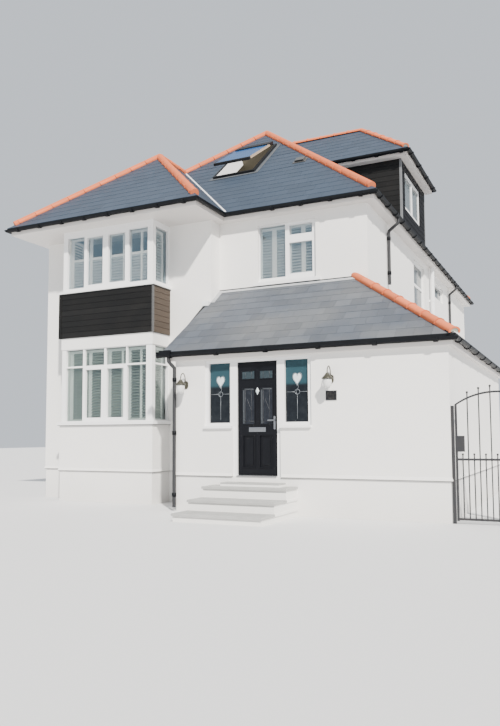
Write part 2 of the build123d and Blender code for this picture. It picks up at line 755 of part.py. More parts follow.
# Hall walls: the front is split beside and over the doorway
frame_l = xl + door_left - side_w - 75.0
frame_r = xl + door_left + door_w + side_w + 75.0
hall_over = hall_fascia + hall_edge
h_half = hall_out + hall_over
h_edge = 50.0
h_shell = 300.0
seat = h_shell - hall_over

with BuildPart() as hall_left_wall:
    with BuildSketch(Plane.XY.offset(ground_h)):
        with Locations(((wx + frame_l) / 2, hy + wall / 2)):
            Rectangle(frame_l - wx, wall)
        with Locations((wx + wall / 2, (hy + wall + wy) / 2)):
            Rectangle(wall, wy - hy - wall)
    extrude(amount=hall_top - ground_h)
    with BuildSketch(Plane.YZ.offset(wx)):
        with BuildLine():
            Polyline((hy + seat, hall_top), (wy, hall_top), (wy, hall_top + (wy - hy - seat) * hall_rise),
                     close=True)
        make_face()
    extrude(amount=wall)
finish(hall_left_wall.part, "hall_left_wall")

with BuildPart() as hall_right_wall:
    with BuildSketch(Plane.XY.offset(ground_h)):
        with Locations(((frame_r + hx) / 2, hy + wall / 2)):
            Rectangle(hx - frame_r, wall)
    extrude(amount=hall_top - ground_h)
finish(hall_right_wall.part, "hall_right_wall")

with BuildPart() as hall_side_wall:
    with BuildSketch(Plane.XY.offset(ground_h)):
        with Locations((hx - wall / 2, (hy + wall + hyb) / 2)):
            Rectangle(wall, hyb - hy - wall)
    extrude(amount=hall_top - ground_h)
finish(hall_side_wall.part, "hall_side_wall")

with BuildPart() as hall_back_wall:
    with BuildSketch(Plane.XZ.offset(-hyb)):
        with BuildLine():
            Polyline((xr, ground_h), (hx - wall, ground_h), (hx - wall, hall_top), (hx - seat, hall_top),
                     (xr, hall_top + (hx - seat - xr) * side_rise), close=True)
        make_face()
    extrude(amount=wall)
finish(hall_back_wall.part, "hall_back_wall")

with BuildPart() as hall_lintel:
    with BuildSketch(Plane.XY.offset(head_z)):
        with Locations(((frame_l + frame_r) / 2, hy + wall / 2)):
            Rectangle(frame_r - frame_l, wall)
    extrude(amount=hall_top - head_z)
finish(hall_lintel.part, "hall_lintel")

# Hall roof: a lean-to that turns the corner on a hip
def hall_skin(inset, x_left, y_end):
    # the front slope is a little steeper than the side one; the hip is their meeting line
    e = h_half - inset
    z0 = hall_top if inset == 0 else hall_top - 1
    zi = hall_top + h_edge if inset == 0 else hall_top
    zt = zi + e * hall_rise
    zt_side = zi + e * side_rise
    x_top = xr + e - (zt + 1 - zi) / side_rise
    with BuildPart() as front_run:
        with BuildSketch(Plane.YZ.offset(x_left)):
            with BuildLine():
                Polyline((yf - e, z0), (yf - e, zi), (yf, zt), (yf, z0), close=True)
            make_face()
        extrude(amount=xr + e - x_left)
        with BuildSketch(Plane.XZ.offset(-yf)):
            with BuildLine():
                Polyline((x_left - 1, z0), (x_left - 1, zt + 1), (x_top, zt + 1), (xr + e, zi), (xr + e, z0),
                         close=True)
            make_face()
        extrude(amount=e, mode=Mode.INTERSECT)
    with BuildPart() as side_run:
        with BuildSketch(Plane.XZ.offset(-y_end)):
            with BuildLine():
                Polyline((xr, z0), (xr, zt_side), (xr + e, zi), (xr + e, z0), close=True)
            make_face()
        extrude(amount=y_end - yf)
    with BuildPart() as whole:
        add(front_run.part)
        add(side_run.part)
    return whole.part


with BuildPart() as hall_roof:
    add(hall_skin(0, wx - hall_over, hyb + hall_over))
    add(hall_skin(h_shell, wx, hyb), mode=Mode.SUBTRACT)
    with BuildSketch(Plane.XY.offset(hall_top - 10)):
        with Locations((wx - 1500, wy + 1500)):
            Rectangle(3000, 3000)
    extrude(amount=3000, mode=Mode.SUBTRACT)
finish(hall_roof.part, "hall_roof")

def hall_hip(run):
    # a point of the hip, a plan distance run in from the corner along the front
    return (xr + h_half - run, yf - h_half + run * side_rise / hall_rise, hall_top + h_edge + run * side_rise)


with BuildPart() as hall_hip_tiles:
    add(roll(hall_hip(h_half * hall_rise / side_rise + 150), hall_hip(low), hall_roll_r))
    add(hall_skin(0, wx - hall_over, hyb + hall_over), mode=Mode.SUBTRACT)
    with BuildSketch(Plane.XY.offset(hall_top)):
        with Locations((xr - 1000, yf + 1000)):
            Rectangle(2000, 2000)
    extrude(amount=3000, mode=Mode.SUBTRACT)
finish(hall_hip_tiles.part, "hall_hip_tiles")


def hall_ring(reach_out, reach_in, z0, z1, x_left, y_back):
    # an L-shaped level band along the front and the right side of the hall
    with BuildPart() as ring:
        with BuildSketch(Plane.XY.offset(z0)):
            with Locations(((x_left + hx + reach_out) / 2, hy + (reach_in - reach_out) / 2 - reach_in)):
                Rectangle(hx + reach_out - x_left, reach_out - reach_in)
            with Locations((hx + (reach_out + reach_in) / 2, (hy - reach_out + y_back) / 2)):
                Rectangle(reach_out - reach_in, y_back - hy + reach_out)
        extrude(amount=z1 - z0)
    return ring.part


with BuildPart() as hall_soffit:
    add(hall_ring(hall_fascia, 0, hall_soffit_z, hall_soffit_z + 20, wx - hall_over, hyb + hall_over))
    add(hall_ring(hall_fascia, hall_fascia - fascia_t, hall_soffit_z, hall_top, wx - hall_over,
                  hyb + hall_over))
finish(hall_soffit.part, "hall_soffit")

hg = hall_fascia + gutter_r
with BuildPart() as hall_gutter:
    add(gutter_run([(wx - 335, hy - hg), (hx + hg, hy - hg), (hx + hg, hyb + hall_over)], hall_top))
finish(hall_gutter.part, "hall_gutter")

hp_x, hp_y = wx + 2.0, hy - pipe_r - 14
with BuildPart() as hall_downpipe:
    with BuildLine() as hall_path:
        FilletPolyline((hp_x - 80, hy - hg, hall_top - 35), (hp_x - 80, hy - hg, hall_top - 130),
                       (hp_x, hp_y, hall_top - 255), (hp_x, hp_y, 70), radius=45)
    with BuildSketch(Plane(origin=(hp_x - 80, hy - hg, hall_top - 35), z_dir=(0, 0, -1))):
        Circle(pipe_r)
    sweep(path=hall_path.line)
    with Locations(Location((hp_x - 80, hy - hg, hall_top), (0, 90, 0))):
        Cylinder(gutter_r, 300, mode=Mode.SUBTRACT)
finish(hall_downpipe.part, "hall_downpipe")

# Door frame with a sidelight on each side of the doorway, walls standing below the sidelights
post = 70.0
gap = 8.0
fy = hy + 40.0
door_z0 = ground_h + door_sill
dl, dr = xl + door_left, xl + door_left + door_w
leaf_t = 46.0
leaf_y = fy + 70.0 - leaf_t
pin_x, pin_y = dl - gap / 2, fy + 79.0
hinge_zs = [door_z0 + 250.0, door_z0 + 970.0, door_z0 + 1690.0]
knuckle = 30.0
with BuildPart() as door_frame:
    with BuildSketch(Plane.XZ.offset(-(fy + 70))):
        with Locations(((frame_l + frame_r) / 2, (side_sill + head_z) / 2)):
            Rectangle(frame_r - frame_l, head_z - side_sill)
        with Locations(((dl + dr) / 2, (ground_h + head_z) / 2)):
            Rectangle(door_w + 2 * (gap + 75), head_z - ground_h)
        with Locations(((dl + dr) / 2, (door_z0 - gap + door_z0 + door_h + gap) / 2)):
            Rectangle(door_w + 2 * gap, door_h + 2 * gap, mode=Mode.SUBTRACT)
        for xc in ((frame_l + bar + dl - gap - 145) / 2, (dr + gap + 145 + frame_r - bar) / 2):
            with Locations((xc, (side_sill + 100 + head_z - 50) / 2)):
                Rectangle((dl - gap - 145) - (frame_l + bar), head_z - 50 - side_sill - 100, mode=Mode.SUBTRACT)
    extrude(amount=70)
    with BuildSketch(Plane.XZ.offset(-(fy + 70))):
        for xc in ((frame_l + 30 + dl - gap - 75) / 2, (dr + gap + 75 + frame_r - 30) / 2):
            with Locations((xc, (side_sill + head_z) / 2)):
                Rectangle((dl - gap - 75) - (frame_l + 30), head_z - side_sill - 60)
    extrude(amount=glass_t)
    with BuildSketch(Plane.XY.offset(side_sill)):
        for xc in ((frame_l + dl - gap - 75) / 2, (dr + gap + 75 + frame_r) / 2):
            with Locations((xc, (hy - 50 + fy) / 2)):
                Rectangle((dl - gap - 75) - frame_l, fy - hy + 50)
    extrude(amount=45)
    for z in hinge_zs:
        with BuildSketch(Plane.XY.offset(z)) as fixed_leaf:
            with Locations((pin_x - 20, fy + 73)):
                Rectangle(40, 6)
            with Locations((pin_x, pin_y)):
                Circle(8)
        extrude(amount=knuckle)
        with BuildSketch(Plane.XY.offset(z + 2 * knuckle + 2)):
            with Locations((pin_x - 20, fy + 73)):
                Rectangle(40, 6)
            with Locations((pin_x, pin_y)):
                Circle(8)
        extrude(amount=knuckle)
        with BuildSketch(Plane.XY.offset(z)):
            with Locations((pin_x, pin_y)):
                Circle(4)
        extrude(amount=3 * knuckle)
finish(door_frame.part, "door_frame")

# Low walls under the sidelights
with BuildPart() as left_apron:
    with BuildSketch(Plane.XY.offset(ground_h)):
        with Locations(((frame_l + dl - gap - 75) / 2, hy + wall / 2)):
            Rectangle(dl - gap - 75 - frame_l, wall)
    extrude(amount=side_sill - ground_h)
finish(left_apron.part, "left_apron")

with BuildPart() as right_apron:
    with BuildSketch(Plane.XY.offset(ground_h)):
        with Locations(((frame_r + dr + gap + 75) / 2, hy + wall / 2)):
            Rectangle(frame_r - dr - gap - 75, wall)
    extrude(amount=side_sill - ground_h)
finish(right_apron.part, "right_apron")

# Front door leaf, hung on its left edge, with its glazed lights and sunk panels
dc = (dl + dr) / 2
panel_x = 0.2135 * door_w
sunk = [(0.278 * door_w, 0.374 * door_h, 0.685 * door_h), (0.194 * door_w, 0.064 * door_h, 0.926 * door_h),
        (0.291 * door_w, 0.276 * door_h, 0.207 * door_h)]
with BuildPart() as front_door:
    with BuildSketch(Plane.XZ.offset(-(leaf_y + leaf_t))):
        with Locations((dc, door_z0 + door_h / 2)):
            Rectangle(door_w, door_h)
    extrude(amount=leaf_t)
    with BuildSketch(Plane.XZ.offset(-leaf_y)):
        for width, height, up in sunk:
            with Locations((dc - panel_x, door_z0 + up), (dc + panel_x, door_z0 + up)):
                Rectangle(width, height)
    extrude(amount=-12, mode=Mode.SUBTRACT)
    for z in hinge_zs:
        with BuildSketch(Plane.XY.offset(z + knuckle + 1)):
            with Locations((pin_x + 22, leaf_y + leaf_t + 3)):
                Rectangle(44, 6)
            with Locations((pin_x, pin_y)):
                Circle(8)
                Circle(4.6, mode=Mode.SUBTRACT)
        extrude(amount=knuckle)
finish(front_door.part, "front_door")

with BuildPart() as door_handle:
    with BuildSketch(Plane.XZ.offset(-leaf_y)):
        with Locations((dr - 50, door_z0 + handle_up)):
            SlotOverall(240, 36, rotation=90)
    extrude(amount=10)
    with BuildSketch(Plane.XZ.offset(-leaf_y + 10)):
        with Locations((dr - 50, door_z0 + handle_up + spindle_up)):
            Circle(8)
    extrude(amount=40)
    with BuildSketch(Plane.XZ.offset(-leaf_y + 42)):
        with Locations((dr - 105, door_z0 + handle_up + spindle_up)):
            SlotOverall(132, 20)
    extrude(amount=12)
finish(door_handle.part, "door_handle")

with BuildPart() as letter_plate:
    with BuildSketch(Plane.XZ.offset(-leaf_y)):
        with Locations((dc, door_z0 + 810)):
            Rectangle(330, 80)
    extrude(amount=12)
finish(letter_plate.part, "letter_plate")

# Steps: three risers, each under a thin slab, then a low sill step at the door
with BuildPart() as steps:
    for front, top in zip(step_fronts, step_tops):
        with BuildSketch(Plane.XY):
            with Locations((xl + (step_left + step_right) / 2, yf - (front + hall_out) / 2)):
                Rectangle(step_right - step_left, front - hall_out)
            with Locations((xl + (step_left + step_right) / 2, hy + plinth_in / 2)):
                Rectangle(step_right - step_left, plinth_in)
        extrude(amount=top - tread_t)
        with BuildSketch(Plane.XY.offset(top - tread_t)):
            with Locations((xl + (step_left + step_right) / 2, yf - (front + nosing + hall_out) / 2)):
                Rectangle(step_right - step_left + nosing, front + nosing - hall_out)
        extrude(amount=tread_t)
    with BuildSketch(Plane.XY.offset(step_tops[-1])):
        with Locations(((dl + dr) / 2, hy - 150)):
            Rectangle(sill_step_w, 300)
    extrude(amount=sill_step_h)
finish(steps.part, "steps")

# Wall lamps on swan necks, one each side of the door, and a number plate under the right one
lamp_out = 200.0
lamp_l, lamp_r = frame_l - 396.0, frame_r + 366.0
lamp_z = 2345.0
plate_x, plate_z = lamp_r, lamp_z - 280.0


shade = [(0, 95), (24, 90), (36, 66), (90, 8), (93, -10), (72, -10), (74, -60), (62, -120), (40, -158), (0, -165)]


def lamp(x):
    with BuildPart() as whole:
        with BuildSketch(Plane.XZ.offset(-hy)):
            with Locations((x, lamp_z)):
                SlotOverall(150, 96, rotation=90)
        extrude(amount=16)
        with BuildLine() as neck:
            Spline((x, hy - 8, lamp_z + 20), (x, hy - 50, lamp_z + 160), (x, hy - 120, lamp_z + 212),
                   (x, hy - lamp_out + 15, lamp_z + 165), (x, hy - lamp_out, lamp_z + 90),
                   tangents=((0, -1, 1.2), (0, -0.05, -1)))
        with BuildSketch(Plane(origin=(x, hy - 8, lamp_z + 20), z_dir=(0, -1, 1.2))):
            Circle(9)
        sweep(path=neck.line)
        with BuildSketch(Plane.XZ.offset(-(hy - lamp_out))):
            with BuildLine():
                Polyline(*[(x + out, lamp_z + up) for out, up in shade], close=True)
            make_face()
        revolve(axis=Axis((x, hy - lamp_out, 0), (0, 0, 1)), revolution_arc=360)
    return whole.part


with BuildPart() as left_lamp:
    add(lamp(lamp_l))
finish(left_lamp.part, "left_lamp")

with BuildPart() as right_lamp:
    add(lamp(lamp_r))
finish(right_lamp.part, "right_lamp")

with BuildPart() as number_plate:
    with BuildSketch(Plane.XZ.offset(-hy)):
        with Locations((plate_x, plate_z)):
            Rectangle(195, 165)
    extrude(amount=12)
finish(number_plate.part, "number_plate")

# Side gate: hung on a post away from the house, with a curved rising top rail
gate_w = 1250.0
gate_gap = 12.0
latch_t = 48.0
lock_w, lock_h, lock_t = 140.0, 250.0, 44.0
lock_z = 1245.0
gx0 = hx + latch_t + gate_gap
gx1 = gx0 + gate_w
gy = hy + 60.0
bar_w = 16.0
gate_low, gate_mid, gate_end, gate_mid_top = 75.0, 1000.0, 1865.0, 2065.0
bars = 6
bar_pitch = 172.0
bar_x0 = gx1 - 195.0 - (bars - 1) * bar_pitch
gate_pin_x, gate_pin_y = gx1 + gate_gap / 2, gy + 50.0
gate_hinge_zs = [300.0, 1560.0]


def arch(x):
    # height of the top rail over the gate's width
    u = (x - (gx0 + gx1) / 2) / (gate_w / 2)
    return gate_mid_top - (gate_mid_top - gate_end) * u * u


with BuildPart() as side_gate:
    with BuildSketch(Plane.XZ.offset(-(gy + 15))):
        for x in (gx0 + 17, gx1 - 17):
            with Locations((x, (gate_low - 30 + gate_end) / 2)):
                Rectangle(34, gate_end - gate_low + 30)
        for z in (gate_low, gate_mid):
            with Locations(((gx0 + gx1) / 2, z)):
                Rectangle(gate_w, 34)
        with BuildLine():
            ThreePointArc((gx0, gate_end), ((gx0 + gx1) / 2, gate_mid_top), (gx1, gate_end))
            Line((gx1, gate_end), (gx1, gate_end - 30))
            ThreePointArc((gx1, gate_end - 30), ((gx0 + gx1) / 2, gate_mid_top - 30), (gx0, gate_end - 30))
            Line((gx0, gate_end - 30), (gx0, gate_end))
        make_face()
        for i in range(bars):
            x = bar_x0 + i * bar_pitch
            with Locations((x, (gate_low + arch(x) + 70) / 2)):
                Rectangle(bar_w, arch(x) + 70 - gate_low)
        for i in range(bars + 1):
            x = bar_x0 + (i - 0.5) * bar_pitch
            with Locations((x, (gate_low + gate_mid + 70) / 2)):
                Rectangle(bar_w, gate_mid + 70 - gate_low)
    extrude(amount=30)
    with Locations((gx0 + lock_w / 2, gy, lock_z)):
        Box(lock_w, lock_t, lock_h)
    for i in range(bars):
        x = bar_x0 + i * bar_pitch
        with Locations((x, gy, arch(x) + 80)):
            Sphere(19)
    for i in range(bars + 1):
        x = bar_x0 + (i - 0.5) * bar_pitch
        with Locations((x, gy, gate_mid + 80)):
            Sphere(17)
    for z in gate_hinge_zs:
        with BuildSketch(Plane.XY.offset(z)):
            with Locations((gx1 - 14, gy + 32)):
                Rectangle(28, 38)
            with Locations(((gx1 - 28 + gate_pin_x) / 2, gate_pin_y)):
                Rectangle(gate_pin_x - gx1 + 28, 8)
            with Locations((gate_pin_x, gate_pin_y)):
                Circle(11)
                Circle(6.8, mode=Mode.SUBTRACT)
        extrude(amount=30)
finish(side_gate.part, "side_gate")

with BuildPart() as gate_post:
    with BuildSketch(Plane.XY):
        with Locations((gx1 + gate_gap + 40, gy)):
            Rectangle(80, 80)
    extrude(amount=gate_end + 60)
    with Locations((gx1 + gate_gap + 40, gy, gate_end + 60)):
        Sphere(38)
    for z in gate_hinge_zs:
        with BuildSketch(Plane.XY.offset(z - 22)):
            with Locations(((gate_pin_x + gx1 + gate_gap + 60) / 2, gate_pin_y - 3)):
                Rectangle(gx1 + gate_gap + 60 - gate_pin_x, 14)
            with Locations((gate_pin_x, gate_pin_y)):
                Circle(11)
        extrude(amount=21)
        with BuildSketch(Plane.XY.offset(z - 22)):
            with Locations((gate_pin_x, gate_pin_y)):
                Circle(6)
        extrude(amount=60)
finish(gate_post.part, "gate_post")

with BuildPart() as latch_post:
    with BuildSketch(Plane.XY):
        with Locations((hx + latch_t / 2, gy)):
            Rectangle(latch_t, 40)
    extrude(amount=gate_end - 20)
finish(latch_post.part, "latch_post")
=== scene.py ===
import math

import bpy
import numpy as np
from mathutils import Matrix, Vector


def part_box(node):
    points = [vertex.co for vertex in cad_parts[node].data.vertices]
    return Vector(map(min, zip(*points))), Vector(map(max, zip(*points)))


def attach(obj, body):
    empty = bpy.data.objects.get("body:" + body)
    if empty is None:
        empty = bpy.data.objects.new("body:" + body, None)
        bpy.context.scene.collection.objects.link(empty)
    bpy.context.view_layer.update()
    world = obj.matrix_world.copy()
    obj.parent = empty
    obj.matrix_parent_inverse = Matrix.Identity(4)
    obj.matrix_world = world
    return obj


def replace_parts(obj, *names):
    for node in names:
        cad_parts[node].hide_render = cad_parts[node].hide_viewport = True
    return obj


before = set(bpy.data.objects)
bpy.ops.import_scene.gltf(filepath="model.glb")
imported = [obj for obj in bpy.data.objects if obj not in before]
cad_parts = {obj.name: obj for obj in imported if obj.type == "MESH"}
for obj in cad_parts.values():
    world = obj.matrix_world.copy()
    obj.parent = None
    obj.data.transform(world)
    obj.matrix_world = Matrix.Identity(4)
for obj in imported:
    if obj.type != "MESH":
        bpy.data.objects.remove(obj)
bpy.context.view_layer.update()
rng = np.random.default_rng(11)

# Sizes shared with the solids, in metres
MAIN_W, MAIN_D, WING_W = 7.690, 12.240, 4.420
XL, XR, YF, YB = -MAIN_W / 2, MAIN_W / 2, -MAIN_D / 2, MAIN_D / 2
WX, WY = XL + WING_W, YF - 0.375
BX0, BX1, BY = XL + 0.970, XL + 3.394, WY - 0.652
HX, HY, HYB = XR + 1.785, YF - 1.785, YF + 5.400
GROUND = 0.665
PITCH, HALL_PITCH, SIDE_PITCH = math.radians(40.7), math.radians(38.0), math.radians(35.0)
EAVE_Z, FASCIA, OVER, FRONT = 6.100, 0.200, 0.270, 1.010
ROOF_FRONT = WY - FRONT - 0.070
HALF_M, HALF_W = MAIN_W / 2 + OVER, WING_W / 2 + OVER
HALL_OVER, HALL_Z, HALL_FASCIA = 0.140, 2.975, 0.080
HALL_HALF = 1.785 + HALL_OVER
DX, DY0, DY1 = XR - 0.050, YF + 3.200, YF + 5.850
DYM, D_OVER, D_FASCIA = (DY0 + DY1) / 2, 0.240, 0.190
D_HALF, D_Z, D_SOFFIT = (DY1 - DY0) / 2 + D_OVER, 8.165, 8.020
RW_X, RW_W, RW_L, RW_DOWN, RW_OPEN = 0.165, 1.110, 1.800, 1.120, math.radians(7.8)
SASH_W, SASH_L, SASH_IN = 0.950, 1.700, 0.020
GUTTER_R = 0.056
DOOR_L = XL + 5.711
DOOR_R = DOOR_L + 0.773
DOOR_MID = (DOOR_L + DOOR_R) / 2
DOOR_Z = 0.687
FRAME_L, FRAME_R = DOOR_L - 0.665, DOOR_R + 0.665
FRAME_Y = HY + 0.040
LEAF_Y = FRAME_Y + 0.070 - 0.046
LAMPS, LAMP_Y, LAMP_Z = (FRAME_L - 0.396, FRAME_R + 0.366), HY - 0.200, 2.345
UP = np.array([0.0, 0.0, 1.0])


# Meshes built from whole arrays
def mesh_piece(name, verts, faces, material, body="house", smooth=False, slot=None, tone=None):
    """One object from whole arrays: verts (n, 3) and faces (m, 4), (m, 3) or a mixed list; tone is one
    number per face."""
    verts = np.asarray(verts, dtype=np.float64).reshape(-1, 3)
    mesh = bpy.data.meshes.new(name)
    mesh.from_pydata(verts, [], faces if isinstance(faces, list) else faces.tolist())
    mesh.validate()
    mesh.update()
    if tone is not None and len(mesh.polygons) == len(tone):
        layer = mesh.attributes.new("tone", "FLOAT", "FACE")
        layer.data.foreach_set("value", np.asarray(tone, dtype=np.float32))
    mesh.polygons.foreach_set("use_smooth", np.full(len(mesh.polygons), smooth))
    obj = bpy.data.objects.new(name, mesh)
    bpy.context.scene.collection.objects.link(obj)
    mesh.materials.append(material)
    if body:
        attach(obj, body)
    return obj


def joined(parts):
    """One pair of arrays from many pairs (verts, faces): face numbers go up by the verts that come
    before."""
    starts = np.cumsum([0] + [len(v) for v, f in parts[:-1]])
    return np.vstack([v for v, f in parts]), np.vstack([f + s for (v, f), s in zip(parts, starts)])


def repeated(faces, count, size):
    """The faces of count equal blocks, each with size verts."""
    return (faces[None] + size * np.arange(count)[:, None, None]).reshape(-1, faces.shape[-1])


def box_arrays(low, high):
    """Corners and outward faces of many boxes: corner = low or high of each axis, picked by the bits 0 to
    7."""
    low, high = np.atleast_2d(low).astype(float), np.atleast_2d(high).astype(float)
    bits = np.array([[i & 1, (i >> 1) & 1, (i >> 2) & 1] for i in range(8)])
    verts = np.where(bits[None] == 0, low[:, None, :], high[:, None, :])
    quads = np.array([[0, 2, 3, 1], [4, 5, 7, 6], [0, 1, 5, 4], [2, 6, 7, 3], [0, 4, 6, 2], [1, 3, 7, 5]])
    return verts.reshape(-1, 3), repeated(quads, len(low), 8)


def boxes(name, low, high, material, bevel=0.0, **kw):
    """Many boxes in one piece, with an optional small bevel on their edges."""
    verts, faces = box_arrays(low, high)
    obj = mesh_piece(name, verts, faces, material, **kw)
    if bevel:
        mod = obj.modifiers.new("edge", "BEVEL")
        mod.width = bevel
        mod.segments = 2
        mod.limit_method = "ANGLE"
    return obj


def grid_faces(nu, nv, wrap_u=False, wrap_v=False):
    """Quads of a grid whose points run v fastest; wrapped ways join the last row to the first."""
    iu = np.arange(nu if wrap_u else nu - 1)
    iv = np.arange(nv if wrap_v else nv - 1)
    a, b = np.meshgrid(iu, iv, indexing="ij")
    a2, b2 = (a + 1) % nu, (b + 1) % nv
    return np.stack([a * nv + b, a2 * nv + b, a2 * nv + b2, a * nv + b2], -1).reshape(-1, 4)


def tube_arrays(path, radius, sides=12):
    """A round tube: each ring is centre + radius (cos t * side + sin t * up), its frame carried along the
    path."""
    path = np.asarray(path, float)
    tangent = np.gradient(path, axis=0)
    tangent /= np.linalg.norm(tangent, axis=1, keepdims=True)
    up = np.array([0.0, 0.0, 1.0]) if abs(tangent[0][2]) < 0.9 else np.array([0.0, 1.0, 0.0])
    side = np.cross(tangent, up)
    side /= np.linalg.norm(side, axis=1, keepdims=True) + 1e-12
    lift = np.cross(side, tangent)
    t = np.linspace(0, 2 * np.pi, sides, endpoint=False)
    radius = np.broadcast_to(np.asarray(radius, float), (len(path),))
    ring = (np.cos(t)[None, :, None] * side[:, None, :] + np.sin(t)[None, :, None] * lift[:, None, :])
    verts = path[:, None, :] + radius[:, None, None] * ring
    faces = grid_faces(len(path), sides, wrap_v=True)[:, ::-1]
    n = len(path) * sides
    ends = np.vstack([path[0], path[-1]])
    verts = np.vstack([verts.reshape(-1, 3), ends])
    k = np.arange(sides)
    k2 = (k + 1) % sides
    caps = [np.stack([k2, k, np.full(sides, n)], -1),
            np.stack([n - sides + k, n - sides + k2, np.full(sides, n + 1)], -1)]
    return verts, faces, np.vstack(caps)


def tubes(name, paths, radius, material, sides=12, **kw):
    """Several tubes in one piece."""
    parts = [tube_arrays(path, radius, sides) for path in paths]
    verts, quads = joined([(v, q) for v, q, t in parts])
    tris = joined([(v, t) for v, q, t in parts])[1]
    return mesh_piece(name, verts, quads.tolist() + tris.tolist(), material, smooth=True, **kw)


def lathe(name, profile, centre, material, sides=32, **kw):
    """A turned shape: the profile (radius, height) swept round the vertical through centre."""
    profile = np.asarray(profile, float)
    t = np.linspace(0, 2 * np.pi, sides, endpoint=False)
    x = centre[0] + profile[:, None, 0] * np.cos(t)[None]
    y = centre[1] + profile[:, None, 0] * np.sin(t)[None]
    z = np.broadcast_to(centre[2] + profile[:, None, 1], x.shape)
    verts = np.stack([x, y, z], -1)
    return mesh_piece(name, verts, grid_faces(len(profile), sides, wrap_v=True)[:, ::-1], material,
                      smooth=True, **kw)


# Shader groups and materials
def node_group(name, ins, outs):
    """A new shader node group with its input and output nodes."""
    group = bpy.data.node_groups.new(name, "ShaderNodeTree")
    for label, kind, value in ins:
        socket = group.interface.new_socket(name=label, in_out="INPUT", socket_type=kind)
        socket.default_value = value
    for label, kind in outs:
        group.interface.new_socket(name=label, in_out="OUTPUT", socket_type=kind)
    return group, group.nodes.new("NodeGroupInput"), group.nodes.new("NodeGroupOutput")


def add_node(tree, kind, inputs, **props):
    """A node with its properties set. Each of its inputs is linked where a socket is given, and set to the
    value where one isn't."""
    made = tree.nodes.new(kind)
    for key, value in props.items():
        setattr(made, key, value)
    for key, value in inputs.items():
        if isinstance(value, bpy.types.NodeSocket):
            tree.links.new(value, made.inputs[key])
        else:
            made.inputs[key].default_value = value
    return made


def make_weather():
    """Weathering: the base colour mixed towards a stain by a soft noise and by a band near the ground. On
    the hall slates the pale warm patches are painted sun glare, not stain.
    mask = noise * Amount + band * Ground, the band being 1 at z 0 and falling to 0 at its height."""
    group, gin, gout = node_group(
        "weather",
        [("Color", "NodeSocketColor", (0.8, 0.8, 0.8, 1)),
         ("Stain", "NodeSocketColor", (0.4, 0.38, 0.33, 1)), ("Amount", "NodeSocketFloat", 0.2),
         ("Scale", "NodeSocketFloat", 1.5), ("Ground", "NodeSocketFloat", 0.0)],
        [("Color", "NodeSocketColor"), ("Mask", "NodeSocketFloat")])
    given = gin.outputs
    coord = group.nodes.new("ShaderNodeTexCoord").outputs["Object"]
    noise = add_node(group, "ShaderNodeTexNoise",
                     {"Vector": coord, "Scale": given["Scale"], "Detail": 6, "Roughness": 0.62})
    patch = add_node(group, "ShaderNodeMapRange",
                     {"Value": noise.outputs["Fac"], "From Min": 0.42, "From Max": 0.78})
    split = add_node(group, "ShaderNodeSeparateXYZ", {0: coord})
    low = add_node(group, "ShaderNodeMapRange",
                   {"Value": split.outputs["Z"], "From Min": 0.55, "From Max": 0.0})
    band = add_node(group, "ShaderNodeMath", {0: low.outputs["Result"], 1: given["Ground"]},
                    operation="MULTIPLY")
    mask = add_node(group, "ShaderNodeMath",
                    {0: patch.outputs["Result"], 1: given["Amount"], 2: band.outputs[0]},
                    operation="MULTIPLY_ADD", use_clamp=True)
    mix = add_node(group, "ShaderNodeMix",
                   {"Factor": mask.outputs[0], "A": given["Color"], "B": given["Stain"]}, data_type="RGBA")
    group.links.new(mix.outputs["Result"], gout.inputs["Color"])
    group.links.new(mask.outputs[0], gout.inputs["Mask"])
    return group


def make_grain():
    """Fine surface height: coarse noise + Fine * noise of five times the scale, both in stretched
    coordinates."""
    group, gin, gout = node_group(
        "grain",
        [("Scale", "NodeSocketFloat", 60.0), ("Stretch", "NodeSocketVector", (1, 1, 1)),
         ("Fine", "NodeSocketFloat", 0.4)],
        [("Height", "NodeSocketFloat")])
    given = gin.outputs
    coord = group.nodes.new("ShaderNodeTexCoord").outputs["Object"]
    place = add_node(group, "ShaderNodeVectorMath", {0: coord, 1: given["Stretch"]},
                     operation="MULTIPLY").outputs[0]
    coarse = add_node(group, "ShaderNodeTexNoise", {"Vector": place, "Scale": given["Scale"], "Detail": 5})
    finer = add_node(group, "ShaderNodeMath", {0: given["Scale"], 1: 5.0}, operation="MULTIPLY")
    fine = add_node(group, "ShaderNodeTexNoise", {"Vector": place, "Scale": finer.outputs[0], "Detail": 2})
    total = add_node(group, "ShaderNodeMath",
                     {0: fine.outputs["Fac"], 1: given["Fine"], 2: coarse.outputs["Fac"]},
                     operation="MULTIPLY_ADD")
    group.links.new(total.outputs[0], gout.inputs["Height"])
    return group


WEATHER, GRAIN = make_weather(), make_grain()


def bumped(tree, bsdf, grain, stretch, fine, strength, distance):
    """Drive the surface normal with the grain group's height."""
    relief = add_node(tree, "ShaderNodeGroup", {"Scale": grain, "Stretch": stretch, "Fine": fine},
                      node_tree=GRAIN)
    bump = add_node(tree, "ShaderNodeBump",
                    {"Height": relief.outputs["Height"], "Strength": strength, "Distance": distance})
    tree.links.new(bump.outputs["Normal"], bsdf.inputs["Normal"])


def new_material(name):
    """A material, its node tree and its Principled node."""
    mat = bpy.data.materials.new(name)
    mat.use_nodes = True
    return mat, mat.node_tree, mat.node_tree.nodes["Principled BSDF"]


